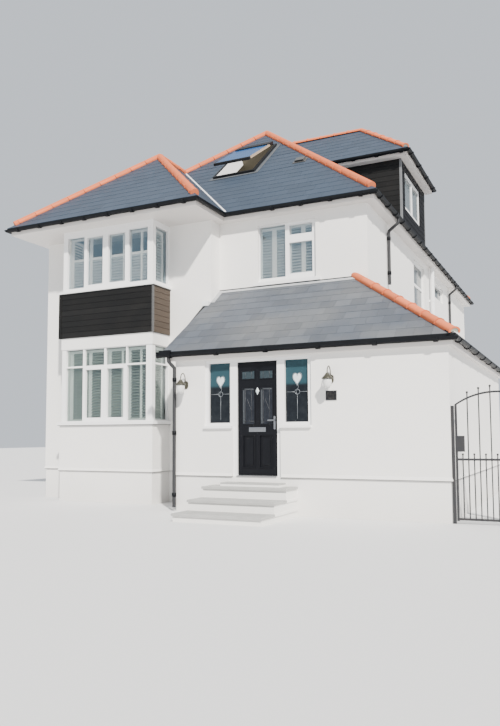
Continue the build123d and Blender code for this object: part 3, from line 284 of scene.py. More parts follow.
def material(name, color, rough, stain=(0.4, 0.38, 0.33), amount=0.1, scale=1.5, ground=0.0, grain=60.0,
             stretch=(1, 1, 1), bump=0.1, metallic=0.0, tone=0.0, coat=0.0, spread=0.08, ior=1.5,
             upper=None, glow=0.0):
    """A Principled finish: weathered colour, roughness moved a little by the same mask, fine bump.
    tone scales the colour by 1 - tone to 1 + tone with the piece's own attribute of that name.
    upper = (z0, z1, colour) blends the base towards that colour between the heights z0 and z1, a painted
    reflection band; glow makes the surface give off light of its own colour: painted light in place of
    daylight."""
    mat, tree, bsdf = new_material(name)
    weather = add_node(tree, "ShaderNodeGroup",
                       {"Color": (*color, 1), "Stain": (*stain, 1), "Amount": amount,
                                                 "Scale": scale, "Ground": ground}, node_tree=WEATHER)
    out = weather.outputs["Color"]
    # upper: painted reflection, a band of another colour above a given height
    if upper:
        coord = tree.nodes.new("ShaderNodeTexCoord").outputs["Object"]
        split = add_node(tree, "ShaderNodeSeparateXYZ", {0: coord})
        level = add_node(tree, "ShaderNodeMapRange",
                         {"Value": split.outputs["Z"], "From Min": upper[0], "From Max": upper[1]},
                         interpolation_type="SMOOTHSTEP")
        fade = add_node(tree, "ShaderNodeMix",
                        {"Factor": level.outputs["Result"], "A": out, "B": (*upper[2], 1)},
                        data_type="RGBA")
        out = fade.outputs["Result"]
    if tone:
        attr = add_node(tree, "ShaderNodeAttribute", {}, attribute_name="tone")
        factor = add_node(tree, "ShaderNodeMapRange",
                          {"Value": attr.outputs["Fac"], "To Min": 1.0 - tone, "To Max": 1.0 + tone})
        scaled = add_node(tree, "ShaderNodeMix", {"Factor": 1.0, "A": out, "B": factor.outputs["Result"]},
                          data_type="RGBA", blend_type="MULTIPLY")
        out = scaled.outputs["Result"]
    tree.links.new(out, bsdf.inputs["Base Color"])
    # glow: painted light, the surface shines with its own colour though it is no lamp
    if glow:
        tree.links.new(out, bsdf.inputs["Emission Color"])
        bsdf.inputs["Emission Strength"].default_value = glow
    sheen = add_node(tree, "ShaderNodeMapRange",
                     {"Value": weather.outputs["Mask"], "To Min": rough,
                      "To Max": min(1.0, rough + spread)})
    tree.links.new(sheen.outputs["Result"], bsdf.inputs["Roughness"])
    for key, value in (("Metallic", metallic), ("Coat Weight", coat), ("IOR", ior)):
        bsdf.inputs[key].default_value = value
    if bump:
        bumped(tree, bsdf, grain, stretch, 0.4, bump, 0.004)
    return mat


def glass_material(name, color, tint, ior=1.5, rough=0.02):
    """Clear glass with a slow ripple and its reflection tinted."""
    mat, tree, bsdf = new_material(name)
    for key, value in (("Base Color", (*color, 1)), ("Roughness", rough), ("Metallic", 0.0), ("IOR", ior),
                       ("Specular Tint", (*tint, 1)), ("Transmission Weight", 1.0)):
        bsdf.inputs[key].default_value = value
    bumped(tree, bsdf, 1.2, (1, 1, 1), 0.1, 0.04, 0.01)
    return mat


BOARD_GRAIN = {"scale": 2.5, "grain": 14, "stretch": (0.5, 0.5, 9.0), "bump": 0.24}
M_RENDER = material("wall_render", (0.86, 0.845, 0.82), 0.82, stain=(0.70, 0.68, 0.64), amount=0.20,
                    scale=0.7, ground=0.10, grain=38, bump=0.12)
M_PLINTH = material("plinth_paint", (0.84, 0.825, 0.80), 0.82, stain=(0.50, 0.48, 0.44), amount=0.10,
                    scale=0.9, ground=0.28, grain=30, bump=0.16)
M_CONCRETE = material("floor_board", (0.55, 0.53, 0.50), 0.8, amount=0.15, scale=2)
# Roof edges: near black, the slates' own dark edge together with painted shade under them
M_EDGE = material("roof_edge_and_shade", (0.006, 0.007, 0.009), 0.55, stain=(0.02, 0.02, 0.02), amount=0.2, scale=3,
                  bump=0.05, ior=1.25)
M_SLATE = material("roof_slate", (0.036, 0.052, 0.078), 0.55, stain=(0.055, 0.070, 0.095), amount=0.4,
                   scale=0.9, grain=24, bump=0.18, tone=0.08, spread=0.15, ior=1.38)
# Hall slates: their large pale warm patches are painted sun glare, not dirt
M_HALL_SLATE = material("hall_slate", (0.078, 0.090, 0.110), 0.55, stain=(0.205, 0.200, 0.182), amount=0.62,
                        scale=0.55, grain=24, bump=0.18, tone=0.13, spread=0.15, ior=1.42)
M_TILE = material("clay_tile", (0.66, 0.165, 0.065), 0.78, stain=(0.48, 0.18, 0.10), amount=0.3, scale=3.0,
                  grain=45, bump=0.2, tone=0.12, ior=1.35)
M_MORTAR = material("tile_mortar", (0.36, 0.37, 0.31), 0.85, stain=(0.24, 0.26, 0.19), amount=0.4, scale=9,
                    grain=60, bump=0.3)
M_BOARD = material("black_board", (0.006, 0.006, 0.006), 0.48, stain=(0.016, 0.014, 0.012), amount=0.35,
                   **BOARD_GRAIN, tone=0.2, ior=1.32)
M_WHITE = material("white_frame", (0.88, 0.88, 0.88), 0.28, stain=(0.7, 0.7, 0.68), amount=0.06, scale=3,
                   bump=0.02)
M_EAVES = material("eaves_board", (0.74, 0.70, 0.67), 0.42, stain=(0.68, 0.66, 0.62), amount=0.12, scale=2,
                   bump=0.03)
M_BLACK = material("shaded_board", (0.002, 0.002, 0.003), 0.55, stain=(0.006, 0.006, 0.006), amount=0.35,
                   **BOARD_GRAIN, tone=0.2, ior=1.2)
# Sunlit copy of the black boards: lighter and browner, painted sunlight on the bay's return
M_SUNLIT_BOARD = material("sunlit_black_board", (0.060, 0.044, 0.032), 0.55, stain=(0.085, 0.066, 0.050), amount=0.4,
                   **BOARD_GRAIN, tone=0.15, ior=1.3)
M_GUTTER = material("black_gutter", (0.004, 0.005, 0.007), 0.50, stain=(0.02, 0.02, 0.02), amount=0.16,
                    scale=3, bump=0.05, spread=0.2, ior=1.25)
M_PIPE = material("pipe_plastic", (0.022, 0.023, 0.026), 0.50, stain=(0.05, 0.05, 0.05), amount=0.2,
                  scale=3, bump=0.05, spread=0.2, ior=1.45)
M_SASH = material("dark_sash", (0.010, 0.011, 0.013), 0.55, stain=(0.03, 0.03, 0.03), amount=0.2, scale=5,
                  bump=0.05, ior=1.35)
# Roof window reveal: its strong glow is painted sunlight falling through the sash
M_REVEAL = material("reveal_board_painted_sunlight", (0.86, 0.84, 0.80), 0.6, stain=(0.7, 0.62, 0.52), amount=0.3, scale=2,
                    bump=0.03, glow=2.0)
# Shaft lining: its dark olive is painted shade on the far linings, its faint glow painted daylight
M_ROOM = material("loft_lining_shade_and_glow", (0.140, 0.122, 0.090), 0.7, stain=(0.09, 0.09, 0.05), amount=0.5, scale=2,
                  bump=0.03, ior=1.3, glow=0.5)
M_DULL = material("dull_lead", (0.14, 0.145, 0.15), 0.5, stain=(0.20, 0.205, 0.21), amount=0.4, scale=5,
                  grain=20, bump=0.12)
# Grey strips of painted shade under the render lips and the bay's sills
M_DRIP_SHADE = material("drip_shadow", (0.10, 0.10, 0.10), 0.8, stain=(0.16, 0.155, 0.15), amount=0.4, scale=3,
                  bump=0.05)
M_FLASHING = material("grey_flashing", (0.055, 0.066, 0.080), 0.5, stain=(0.085, 0.095, 0.105), amount=0.4,
                      scale=5, grain=20, bump=0.1, ior=1.38)
M_DOOR = material("door_skin", (0.0035, 0.004, 0.006), 0.36, stain=(0.010, 0.010, 0.012), amount=0.2,
                  scale=5, grain=22, stretch=(6.0, 6.0, 0.5), bump=0.10, ior=1.28)
M_SILVER = material("satin_metal", (0.31, 0.32, 0.34), 0.30, stain=(0.30, 0.30, 0.31), amount=0.2, scale=20,
                    metallic=1.0, grain=200, bump=0.03)
M_IRON = material("black_iron", (0.022, 0.023, 0.026), 0.42, stain=(0.09, 0.06, 0.045), amount=0.14,
                  scale=7, grain=120, bump=0.12)
M_PEWTER = material("pewter", (0.055, 0.052, 0.036), 0.40, stain=(0.10, 0.095, 0.080), amount=0.4, scale=14,
                    metallic=0.3, grain=90, bump=0.08)
M_STEP = material("step_paint", (0.85, 0.84, 0.81), 0.75, stain=(0.60, 0.57, 0.52), amount=0.12, scale=2.2,
                  ground=0.15, grain=34, bump=0.14)
M_SLAB = material("tread_slab", (0.40, 0.40, 0.388), 0.78, stain=(0.24, 0.24, 0.23), amount=0.4, scale=4,
                  grain=50, bump=0.22)
M_LEAD = material("lead_sheet", (0.36, 0.375, 0.39), 0.5, stain=(0.52, 0.53, 0.54), amount=0.4, scale=5,
                  grain=20, bump=0.12)
M_PALE_LEAD = material("valley_trim", (0.84, 0.85, 0.86), 0.45, stain=(0.6, 0.61, 0.62), amount=0.2,
                       scale=6, bump=0.06)
M_TRIM = material("grey_trim", (0.075, 0.075, 0.075), 0.45, stain=(0.05, 0.05, 0.05), amount=0.1, scale=4,
                  bump=0.03)
# Louvres: the same white paint as the stiles, made blue-grey as painted shade behind the glass; the lower
# bay's copy is deeper painted shade
M_SHUTTER = material("louvre_shaded", (0.56, 0.62, 0.66), 0.45, stain=(0.46, 0.50, 0.54), amount=0.08,
                     scale=6, bump=0.02)
M_SHUTTER_LOW = material("low_louvre_shaded", (0.34, 0.375, 0.36), 0.45, stain=(0.26, 0.29, 0.28),
                         amount=0.08, scale=6, bump=0.02)
# Shutter stiles and rails: white paint with a faint glow, painted light on them behind the glass
M_STILE = material("shutter_paint_glow", (0.86, 0.88, 0.88), 0.45, stain=(0.70, 0.71, 0.70), amount=0.08,
                   scale=6, bump=0.02, glow=0.22)
M_CAME = material("lead_came", (0.22, 0.24, 0.26), 0.35, stain=(0.15, 0.16, 0.17), amount=0.2, scale=18,
                  metallic=0.5, bump=0.03)
M_DOOR_CAME = material("door_came", (0.038, 0.041, 0.046), 0.4, stain=(0.06, 0.062, 0.066), amount=0.4,
                       scale=18, metallic=0.3, bump=0.03)
M_PLATE = material("dark_plate", (0.015, 0.015, 0.018), 0.22, amount=0.05, scale=10, bump=0.02)
M_PLATE_IN = material("plate_inset", (0.010, 0.010, 0.012), 0.4, amount=0.1, scale=20, bump=0.02, ior=1.25)
M_WOOD = material("sash_pine", (0.52, 0.40, 0.29), 0.5, stain=(0.36, 0.26, 0.18), amount=0.3, scale=6,
                  grain=20, stretch=(6.0, 0.6, 0.6), bump=0.08)
M_GLASS = glass_material("window_glass", (0.90, 0.95, 0.95), (0.55, 0.82, 1.0), ior=2.1)
M_GLASS_LOW = glass_material("low_window_glass", (0.80, 0.88, 0.84), (0.70, 0.85, 0.90), ior=1.75)
M_PANE = material("dark_pane", (0.050, 0.072, 0.080), 0.10, stain=(0.10, 0.13, 0.14), amount=0.5, scale=1.4,
                  grain=2, bump=0.06, ior=1.7)
# Roof window pane: opaque, its blue a painted sky reflection
M_SKY = material("roof_pane_sky_reflection", (0.012, 0.062, 0.18), 0.20, stain=(0.04, 0.11, 0.24), amount=0.7, scale=1.7,
                 grain=3, bump=0.05, ior=1.12)
M_DOORGLASS = material("obscure_glass", (0.010, 0.012, 0.017), 0.18, stain=(0.035, 0.040, 0.050),
                       amount=0.5, scale=14, grain=90, bump=0.35, coat=0.1, ior=1.3)
# Sidelight glass: teal above about 2.3 m, a painted sky reflection over the dark lower part
M_SIDEGLASS = material("sidelight_glass_sky_band", (0.006, 0.008, 0.011), 0.15, stain=(0.022, 0.026, 0.030),
                       amount=0.5, scale=9, grain=70, bump=0.25, coat=0.1, ior=1.3,
                       upper=(2.26, 2.33, (0.021, 0.054, 0.068)))
M_SMALLGLASS = material("top_light_glass", (0.022, 0.034, 0.041), 0.18, stain=(0.052, 0.064, 0.070),
                        amount=0.5, scale=20, grain=90, bump=0.3, coat=0.1, ior=1.3)
M_PALE = material("bevelled_glass", (0.58, 0.66, 0.68), 0.12, stain=(0.78, 0.84, 0.86), amount=0.5,
                  scale=30, bump=0.1)
M_BEVEL = material("grey_glass", (0.045, 0.050, 0.056), 0.2, stain=(0.07, 0.075, 0.08), amount=0.5,
                   scale=30, bump=0.1, ior=1.3)
M_BELL = material("bell_glass", (0.74, 0.74, 0.72), 0.22, stain=(0.55, 0.55, 0.53), amount=0.4, scale=25,
                  bump=0.08, coat=0.3)

NODE_FINISH = {
    M_RENDER: ["left_wall", "right_wall", "back_wall", "main_front_wall", "wing_front_wall", "bay_wall",
               "bay_band", "hall_left_wall", "hall_right_wall", "hall_side_wall", "hall_back_wall",
               "hall_lintel", "left_apron", "right_apron"],
    M_PLINTH: ["foundation"],
    M_CONCRETE: ["first_floor", "loft_floor"],
    M_EDGE: ["main_roof", "dormer_roof", "hall_roof"],
    M_TILE: ["main_hip_tiles", "hall_hip_tiles"],
    M_BOARD: ["bay_cladding", "dormer_walls"],
    M_WHITE: ["bay_lower_window", "bay_upper_window", "front_window", "right_window_front",
              "right_window_back", "back_window_upper", "back_window_lower", "dormer_window", "door_frame",
              "soil_pipe"],
    M_EAVES: ["main_soffit", "dormer_soffit", "hall_soffit"],
    M_GLASS: ["bay_upper_glass", "front_window_glass"],
    M_GLASS_LOW: ["bay_lower_glass"],
    M_GUTTER: ["main_gutter", "dormer_gutter", "hall_gutter"],
    M_PIPE: ["main_downpipe", "rear_downpipe", "hall_downpipe"],
    M_SASH: ["roof_window", "roof_window_sash"],
    M_DOOR: ["front_door"],
    M_SILVER: ["door_handle", "letter_plate"],
    M_STEP: ["steps"],
    M_IRON: ["side_gate", "gate_post", "latch_post"],
    M_PEWTER: ["left_lamp", "right_lamp"],
    M_PLATE: ["number_plate"],
}
for finish, names in NODE_FINISH.items():
    for node_name in names:
        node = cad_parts[node_name]
        node.data.materials.clear()
        node.data.materials.append(finish)


# Slates, laid in courses over each slope
def slate_patches(name, planes, mat, width=0.30, gauge=0.25, thick=0.0035):
    """Courses of slates on sloping planes. Each plane is (origin, along, up, [trapezoids]); a trapezoid is
    (v0, v1, left at v0, right at v0, left at v1, right at v1). Slate corners are at
    origin + u along + v up + lift normal, u clamped between the sloping sides."""
    parts, tones = [], []
    for origin, along, up, traps in planes:
        origin, along, up = (np.asarray(a, float) for a in (origin, along, up))
        normal = np.cross(along, up)
        normal /= np.linalg.norm(normal)
        if normal[2] < 0:
            normal = -normal
        for v0, v1, l0, r0, l1, r1 in traps:
            rows = np.arange(math.floor(v0 / gauge), math.ceil(v1 / gauge))
            cols = np.arange(math.floor(min(l0, l1) / width) - 1, math.ceil(max(r0, r1) / width) + 1)
            j, i = np.meshgrid(rows, cols, indexing="ij")
            a = np.clip(j * gauge, v0, v1)
            b = np.clip((j + 1) * gauge + 0.012, v0, v1)
            u0 = (i + 0.5 * (j % 2)) * width + 0.0015
            u1 = u0 + width - 0.003

            def left(v):
                return l0 + (l1 - l0) * (v - v0) / (v1 - v0)

            def right(v):
                return r0 + (r1 - r0) * (v - v0) / (v1 - v0)

            ua0, ua1 = np.clip(u0, left(a), right(a)), np.clip(u1, left(a), right(a))
            ub0, ub1 = np.clip(u0, left(b), right(b)), np.clip(u1, left(b), right(b))
            keep = ((ua1 - ua0) + (ub1 - ub0) > 0.03) & (b - a > 0.02)
            a, b, ua0, ua1, ub0, ub1 = (q[keep] for q in (a, b, ua0, ua1, ub0, ub1))
            m = len(a)
            if not m:
                continue
            jit = rng.uniform(0, 0.0012, (m, 2))
            low_lift = thick + 0.0025 + jit[:, 0]
            flat_lift, ground = np.full(m, 0.0030), np.zeros(m)
            corner = [(ua0, a, low_lift), (ua1, a, low_lift + jit[:, 1]), (ub1, b, flat_lift),
                      (ub0, b, flat_lift), (ua0, a, ground), (ua1, a, ground), (ub1, b, ground),
                      (ub0, b, ground)]
            pts = np.stack([origin + u[:, None] * along + v[:, None] * up + h[:, None] * normal
                            for u, v, h in corner], 1)
            quads = np.array([[0, 1, 2, 3], [4, 5, 1, 0], [5, 6, 2, 1], [7, 4, 0, 3]])
            if np.dot(np.cross(along, up), normal) < 0:
                quads = quads[:, ::-1]
            parts.append((pts.reshape(-1, 3), repeated(quads, m, 8)))
            tones.append(np.repeat(rng.uniform(0, 1, m), 4))
    return mesh_piece(name, *joined(parts), mat, slot="slate", tone=np.concatenate(tones))


cp, sp, rise = math.cos(PITCH), math.sin(PITCH), math.tan(PITCH)
ch, sh = math.cos(HALL_PITCH), math.sin(HALL_PITCH)
cs, ss = math.cos(SIDE_PITCH), math.sin(SIDE_PITCH)
V, VW = HALF_M / cp, HALF_W / cp
yfo, ybo = YF - OVER, YB + OVER
xlo, xro, wxo = XL - OVER, XR + OVER, WX + OVER
APRON = 0.100
rw_v = (V + VW) / 2 - RW_DOWN
rw0, rw1 = RW_X - RW_W / 2 - APRON, RW_X + RW_W / 2 + APRON
rv0, rv1 = rw_v - RW_L / 2 - APRON, rw_v + RW_L / 2 + APRON


def at(v, a, slope):
    """Where a hip starting at a is after going v up the slope."""
    return a + slope * v * cp


ve, vr = (D_Z - EAVE_Z) / sp, (D_Z + D_HALF * rise - EAVE_Z) / sp
vd = (xro - DX) / cp
right_traps = [
    (0, vd, at(0, yfo, 1), at(0, ybo, -1), at(vd, yfo, 1), at(vd, ybo, -1)),
    (vd, ve, at(vd, yfo, 1), DY0, at(ve, yfo, 1), DY0),
    (vd, ve, DY1, at(vd, ybo, -1), DY1, at(ve, ybo, -1)),
    (ve, vr, at(ve, yfo, 1), DYM - D_HALF, at(vr, yfo, 1), DYM),
    (ve, vr, DYM + D_HALF, at(ve, ybo, -1), DYM, at(vr, ybo, -1)),
    (vr, V, at(vr, yfo, 1), at(vr, ybo, -1), at(V, yfo, 1), at(V, ybo, -1))]
left_traps = [
    (0, VW, at(0, ROOF_FRONT, 1), at(0, ybo, -1), at(VW, ROOF_FRONT, 1), at(VW, ybo, -1)),
    (VW, V, at(VW, yfo, 1), at(VW, ybo, -1), at(V, yfo, 1), at(V, ybo, -1))]


def front_left(v):
    """Left end of the front slope: the valley up to the wing's ridge, the hip above it."""
    return wxo - v * cp if v <= VW else xlo + v * cp


front_traps = []
for v0, v1 in ((0, rv0), (rv0, VW), (VW, rv1), (rv1, V)):
    l0 = xlo + VW * cp if v0 == VW else front_left(v0)
    l1, r0, r1 = front_left(v1), xro - v0 * cp, xro - v1 * cp
    if rv0 <= v0 < rv1:
        front_traps += [(v0, v1, l0, rw0, l1, rw0), (v0, v1, rw1, r0, rw1, r1)]
    else:
        front_traps.append((v0, v1, l0, r0, l1, r1))
wing_mid = (xlo + wxo) / 2
slate_patches("main_slates", [
    ((xro, 0, EAVE_Z), (0, 1, 0), (-cp, 0, sp), right_traps),
    ((xlo, 0, EAVE_Z), (0, 1, 0), (cp, 0, sp), left_traps),
    ((0, yfo, EAVE_Z), (1, 0, 0), (0, cp, sp), front_traps),
    ((0, ybo, EAVE_Z), (1, 0, 0), (0, -cp, sp), [(0, V, xlo, xro, 0, 0)]),
    ((0, ROOF_FRONT, EAVE_Z), (1, 0, 0), (0, cp, sp), [(0, VW, xlo, wxo, wing_mid, wing_mid)]),
    ((wxo, 0, EAVE_Z), (0, 1, 0), (-cp, 0, sp),
     [(0, VW, ROOF_FRONT, yfo, ROOF_FRONT + HALF_W, yfo + HALF_W)]),
], M_SLATE)

vdh = D_HALF / cp
xm = xro - (D_Z - EAVE_Z) / rise
d_trap = (0, vdh, xm, DX + D_OVER, xm - D_HALF, DX + D_OVER - D_HALF)
slate_patches("dormer_slates", [
    ((0, DYM - D_HALF, D_Z), (1, 0, 0), (0, cp, sp), [d_trap]),
    ((0, DYM + D_HALF, D_Z), (1, 0, 0), (0, -cp, sp), [d_trap]),
    ((DX + D_OVER, 0, D_Z), (0, 1, 0), (-cp, 0, sp), [(0, vdh, DYM - D_HALF, DYM + D_HALF, DYM, DYM)]),
], M_SLATE)

# The hall's front slope is steeper than its side slope, so its hip runs k across for each 1 back
k = math.tan(HALL_PITCH) / math.tan(SIDE_PITCH)
VERGE = 0.225
hxo, hyo = HX + HALL_OVER, HY - HALL_OVER
vh, vs, vh_s, v_top = HALL_HALF / ch, (WY - hyo) / ch, HALL_HALF / cs, HALL_HALF * k / cs
slate_patches("hall_slates", [
    ((0, hyo, HALL_Z), (1, 0, 0), (0, ch, sh),
     [(0, vs, WX - VERGE, hxo, WX - 0.050, hxo - vs * ch * k),
      (vs, vh, WX, hxo - vs * ch * k, WX, hxo - vh * ch * k)]),
    ((hxo, 0, HALL_Z), (0, 1, 0), (-cs, 0, ss),
     [(0, vh_s, hyo, HYB + HALL_OVER, hyo + vh_s * cs / k, HYB + HALL_OVER),
      (vh_s, v_top, hyo + vh_s * cs / k, YF, YF, YF)]),
], M_HALL_SLATE)


# Hip and ridge tiles
def roll_tiles(name, runs, radius, length=0.42, sides=15, feet=(), wide=1.08, tall=0.86):
    """Round tiles end to end along straight runs, each run going down to its foot. Round the roll the
    angle goes a little past the half of an ellipse, wide and tall times the radius across; along each tile
    the radius grows by 0.018, so that its lower end stands out over the next. The runs whose number is in
    feet end in mortar."""
    parts, tones, discs = [], [], []
    t = np.linspace(math.radians(-20), math.radians(200), sides)
    for number, (p0, p1) in enumerate(runs):
        p0, p1 = np.asarray(p0, float), np.asarray(p1, float)
        d = p1 - p0
        dist = np.linalg.norm(d)
        d /= dist
        side = np.cross(d, (0, 0, 1.0))
        side /= np.linalg.norm(side)
        up = np.cross(side, d)
        n = max(1, round(dist / length))
        s = np.linspace(0, dist, n + 1)
        ends = np.stack([s[:-1], s[:-1] + 0.002, s[1:] - 0.030, s[1:] - 0.028, s[1:] - 0.004,
                         s[1:] - 0.004], 1)
        prof = radius + np.array([-0.022, -0.007, -0.003, 0.009, 0.011, -0.022])
        ring = wide * np.cos(t)[:, None] * side + tall * np.sin(t)[:, None] * up
        pts = (p0 + ends[:, :, None, None] * d) + prof[None, :, None, None] * ring[None, None]
        faces = grid_faces(6, sides)
        if np.dot(np.cross(d, ring[0]), ring[1] - ring[0]) > 0:
            faces = faces[:, ::-1]
        parts.append((pts.reshape(-1, 3), repeated(faces, n, 6 * sides)))
        tones.append(np.repeat(rng.uniform(0, 1, n), 5 * (sides - 1)))
        if number in feet:
            discs.append(np.vstack([p1 - 0.012 * d, p1 - 0.012 * d + (radius - 0.003) * ring]))
    if discs:
        fan = np.stack([np.zeros(sides - 1, int), np.arange(1, sides), np.arange(2, sides + 1)], 1)
        centre, one, two = discs[0][:3]
        if np.dot(np.cross(one - centre, two - centre), discs[0][0] - np.asarray(runs[feet[0]][0])) < 0:
            fan = fan[:, ::-1]
        mortar = joined([(disc, fan) for disc in discs])
        mesh_piece(name + "_mortar", *mortar, M_MORTAR)
    return mesh_piece(name, *joined(parts), M_TILE, slot="terracotta", tone=np.concatenate(tones))


ridge_z, wing_z = EAVE_Z + HALF_M * rise, EAVE_Z + HALF_W * rise
xw = (XL + WX) / 2
junction, peak = (xw, yfo + HALF_W, wing_z), (0, yfo + HALF_M, ridge_z)
peak_b, wing_peak = (0, ybo - HALF_M, ridge_z), (xw, ROOF_FRONT + HALF_W, wing_z)


def foot(top, sx, sy, half, keep=0.180):
    """The low end of a hip whose two slopes have one pitch, stopped keep metres short of the eaves."""
    run = half - keep
    return (top[0] + sx * run, top[1] + sy * run, top[2] - run * rise)


roll_tiles("ridge_and_hip_rolls", [
    (peak, junction), (junction, wing_peak), (peak, peak_b), (peak, foot(peak, 1, -1, HALF_M)),
    (peak_b, foot(peak_b, 1, 1, HALF_M, 0.35)), (peak_b, foot(peak_b, -1, 1, HALF_M)),
    (wing_peak, foot(wing_peak, 1, -1, HALF_W)), (wing_peak, foot(wing_peak, -1, -1, HALF_W))],
    0.0865, feet=(3, 4, 5, 6, 7))
d_peak = (DX + D_OVER - D_HALF, DYM, D_Z + D_HALF * rise)
roll_tiles("dormer_rolls", [
    (d_peak, (xm - D_HALF, DYM, d_peak[2])), (d_peak, foot(d_peak, 1, -1, D_HALF, 0.07)),
    (d_peak, foot(d_peak, 1, 1, D_HALF, 0.07))], 0.075, feet=(1, 2))


def hall_hip(run):
    """The hall's hip, run metres in from the side eaves."""
    return (XR + HALL_HALF - run, YF - HALL_HALF + run / k, HALL_Z + 0.018 + run * math.tan(SIDE_PITCH))


roll_tiles("hall_hip_roll", [(hall_hip(HALL_HALF * k - 0.22), hall_hip(0.010))], 0.0835, feet=(0,),
           wide=1.15)


# Pieces that lie in a slope: low and high corners are (across, up the slope, out of it)
def tilted(name, origin, along, up, low, high, mat, **kw):
    """Boxes in a turned frame: each corner is origin + u along + v up + h (along x up)."""
    verts, faces = box_arrays(low, high)
    along, up = np.asarray(along, float), np.asarray(up, float)
    frame_rows = np.array([along, up, np.cross(along, up)])
    return mesh_piece(name, np.asarray(origin, float) + verts @ frame_rows, faces, mat, **kw)


rw_o = np.array([RW_X, yfo + rw_v * cp, EAVE_Z + rw_v * sp])
slope_up, slope_out = np.array([0, cp, sp]), np.array([0, -sp, cp])
aw, al, w2, l2 = RW_W / 2 + APRON, RW_L / 2 + APRON, RW_W / 2, RW_L / 2
tilted("roof_window_apron", rw_o, (1, 0, 0), slope_up,
       [(-aw, -al, 0.0), (-aw, l2, 0.0), (-aw, -l2, 0.0), (w2, -l2, 0.0)],
       [(aw, -l2, 0.012), (aw, al, 0.010), (-w2, l2, 0.012), (aw, l2, 0.012)], M_FLASHING)
tilted("roof_window_flashing_edge", rw_o, (1, 0, 0), slope_up,
       [(-w2 - 0.02, -l2 - 0.075, 0.010), (w2 + 0.040, -l2 - 0.05, 0.010), (w2 + 0.080, -l2 - 0.05, 0.010)],
       [(w2 + 0.06, -l2 - 0.050, 0.018), (w2 + 0.050, l2 - 0.05, 0.018), (w2 + 0.090, l2 - 0.05, 0.018)],
       M_DULL)
iw, il = w2 - 0.060, l2 - 0.060
# The left reveal glows: painted sunlight through the sash
tilted("roof_window_left_reveal", rw_o, (1, 0, 0), slope_up, [(-iw, -il, -0.30)],
       [(-iw + 0.010, il, 0.050)], M_REVEAL)
# The other linings of the shaft: painted shade in dark olive, with a faint glow of painted daylight
tilted("roof_window_reveals", rw_o, (1, 0, 0), slope_up,
       [(iw - 0.010, -il, -0.75), (-iw, il - 0.010, -0.75), (-iw, -il, -0.75), (-iw, -il, -0.76),
        (-iw, -il, -0.75)],
       [(iw, il, 0.050), (iw, il, 0.050), (iw, -il + 0.010, 0.050), (iw, il, -0.75),
        (-iw + 0.010, il, -0.301)],
       M_ROOM)
turn = PITCH - RW_OPEN
sash_o = rw_o + slope_up * (l2 - SASH_IN) + slope_out * 0.060
sash_up = np.array([0, math.cos(turn), math.sin(turn)])
sw = SASH_W / 2
# The pane's blue is a painted sky reflection
tilted("roof_window_pane", sash_o, (1, 0, 0), sash_up,
       [(-sw + 0.010, -SASH_L + 0.085, 0.049)], [(sw - 0.030, -0.285, 0.053)], M_SKY, slot="glass")
tilted("roof_window_hood", sash_o, (1, 0, 0), sash_up,
       [(-sw, -0.300, 0.049), (-sw - 0.002, -SASH_L - 0.004, -0.004)],
       [(sw, 0.004, 0.078), (sw + 0.002, -SASH_L + 0.085, 0.058)], M_SASH)
tilted("roof_window_rail", sash_o, (1, 0, 0), sash_up,
       [(sw - 0.022, -SASH_L + 0.090, 0.049), (sw - 0.001, -SASH_L + 0.090, 0.004)],
       [(sw - 0.004, -0.300, 0.054), (sw + 0.004, -0.250, 0.046)], M_WOOD)

# A small vent among the slates, right of the roof window
vent = np.array([1.824, yfo + 2.531 * cp, EAVE_Z + 2.531 * sp])
tilted("roof_vent", vent, (1, 0, 0), slope_up, [(-0.16, -0.14, 0.0), (-0.11, -0.10, 0.016)],
       [(0.16, 0.13, 0.018), (0.11, 0.09, 0.062)], M_TRIM)
tilted("roof_vent_grille", vent, (1, 0, 0), slope_up,
       [(-0.10, -0.104, 0.022 + 0.012 * i) for i in range(3)],
       [(0.10, -0.099, 0.028 + 0.012 * i) for i in range(3)], M_SASH)


# Horizontal boards
def board_wall(name, panels, pitch=0.125, thick=0.016, mat=M_BOARD):
    """Horizontal boards. Each panel is (origin, along, out, z0, z1, left(z), right(z)); every board is a
    box whose face is origin + u along + out * thick, its ends cut where left and right say."""
    parts, tones = [], []
    for origin, along, out, z0, z1, left, right in panels:
        origin, along, out = (np.asarray(a, float) for a in (origin, along, out))
        n = max(1, round((z1 - z0) / pitch))
        za = z0 + (z1 - z0) * np.arange(n) / n
        zb = z0 + (z1 - z0) * (np.arange(n) + 1) / n - 0.006
        la, lb, ra, rb = left(za), left(zb), right(za), right(zb)
        keep = (ra - la) + (rb - lb) > 0.05
        la, ra, lb, rb, za, zb = (q[keep] for q in (la, np.maximum(ra, la), lb, np.maximum(rb, lb), za, zb))
        m = len(za)
        corner = [(la, za, thick), (ra, za, thick), (rb, zb, thick * 0.8), (lb, zb, thick * 0.8),
                  (la, za, 0), (ra, za, 0), (rb, zb, 0), (lb, zb, 0)]
        pts = np.stack([origin + u[:, None] * along + z[:, None] * UP + h * out for u, z, h in corner], 1)
        quads = np.array([[0, 1, 2, 3], [4, 5, 1, 0], [3, 2, 6, 7], [5, 6, 2, 1], [7, 4, 0, 3]])
        if np.dot(np.cross(along, UP), out) < 0:
            quads = quads[:, ::-1]
        parts.append((pts.reshape(-1, 3), repeated(quads, m, 8)))
        tones.append(np.repeat(rng.uniform(0, 1, m), 5))
    return mesh_piece(name, *joined(parts), mat, slot="board", tone=np.concatenate(tones))


def flat(value):
    """A side of a panel that stands upright."""
    return lambda z: np.full(np.shape(z), float(value))


def roof_x(z):
    """Where the main right slope is at height z."""
    return xro - (z - EAVE_Z) / rise


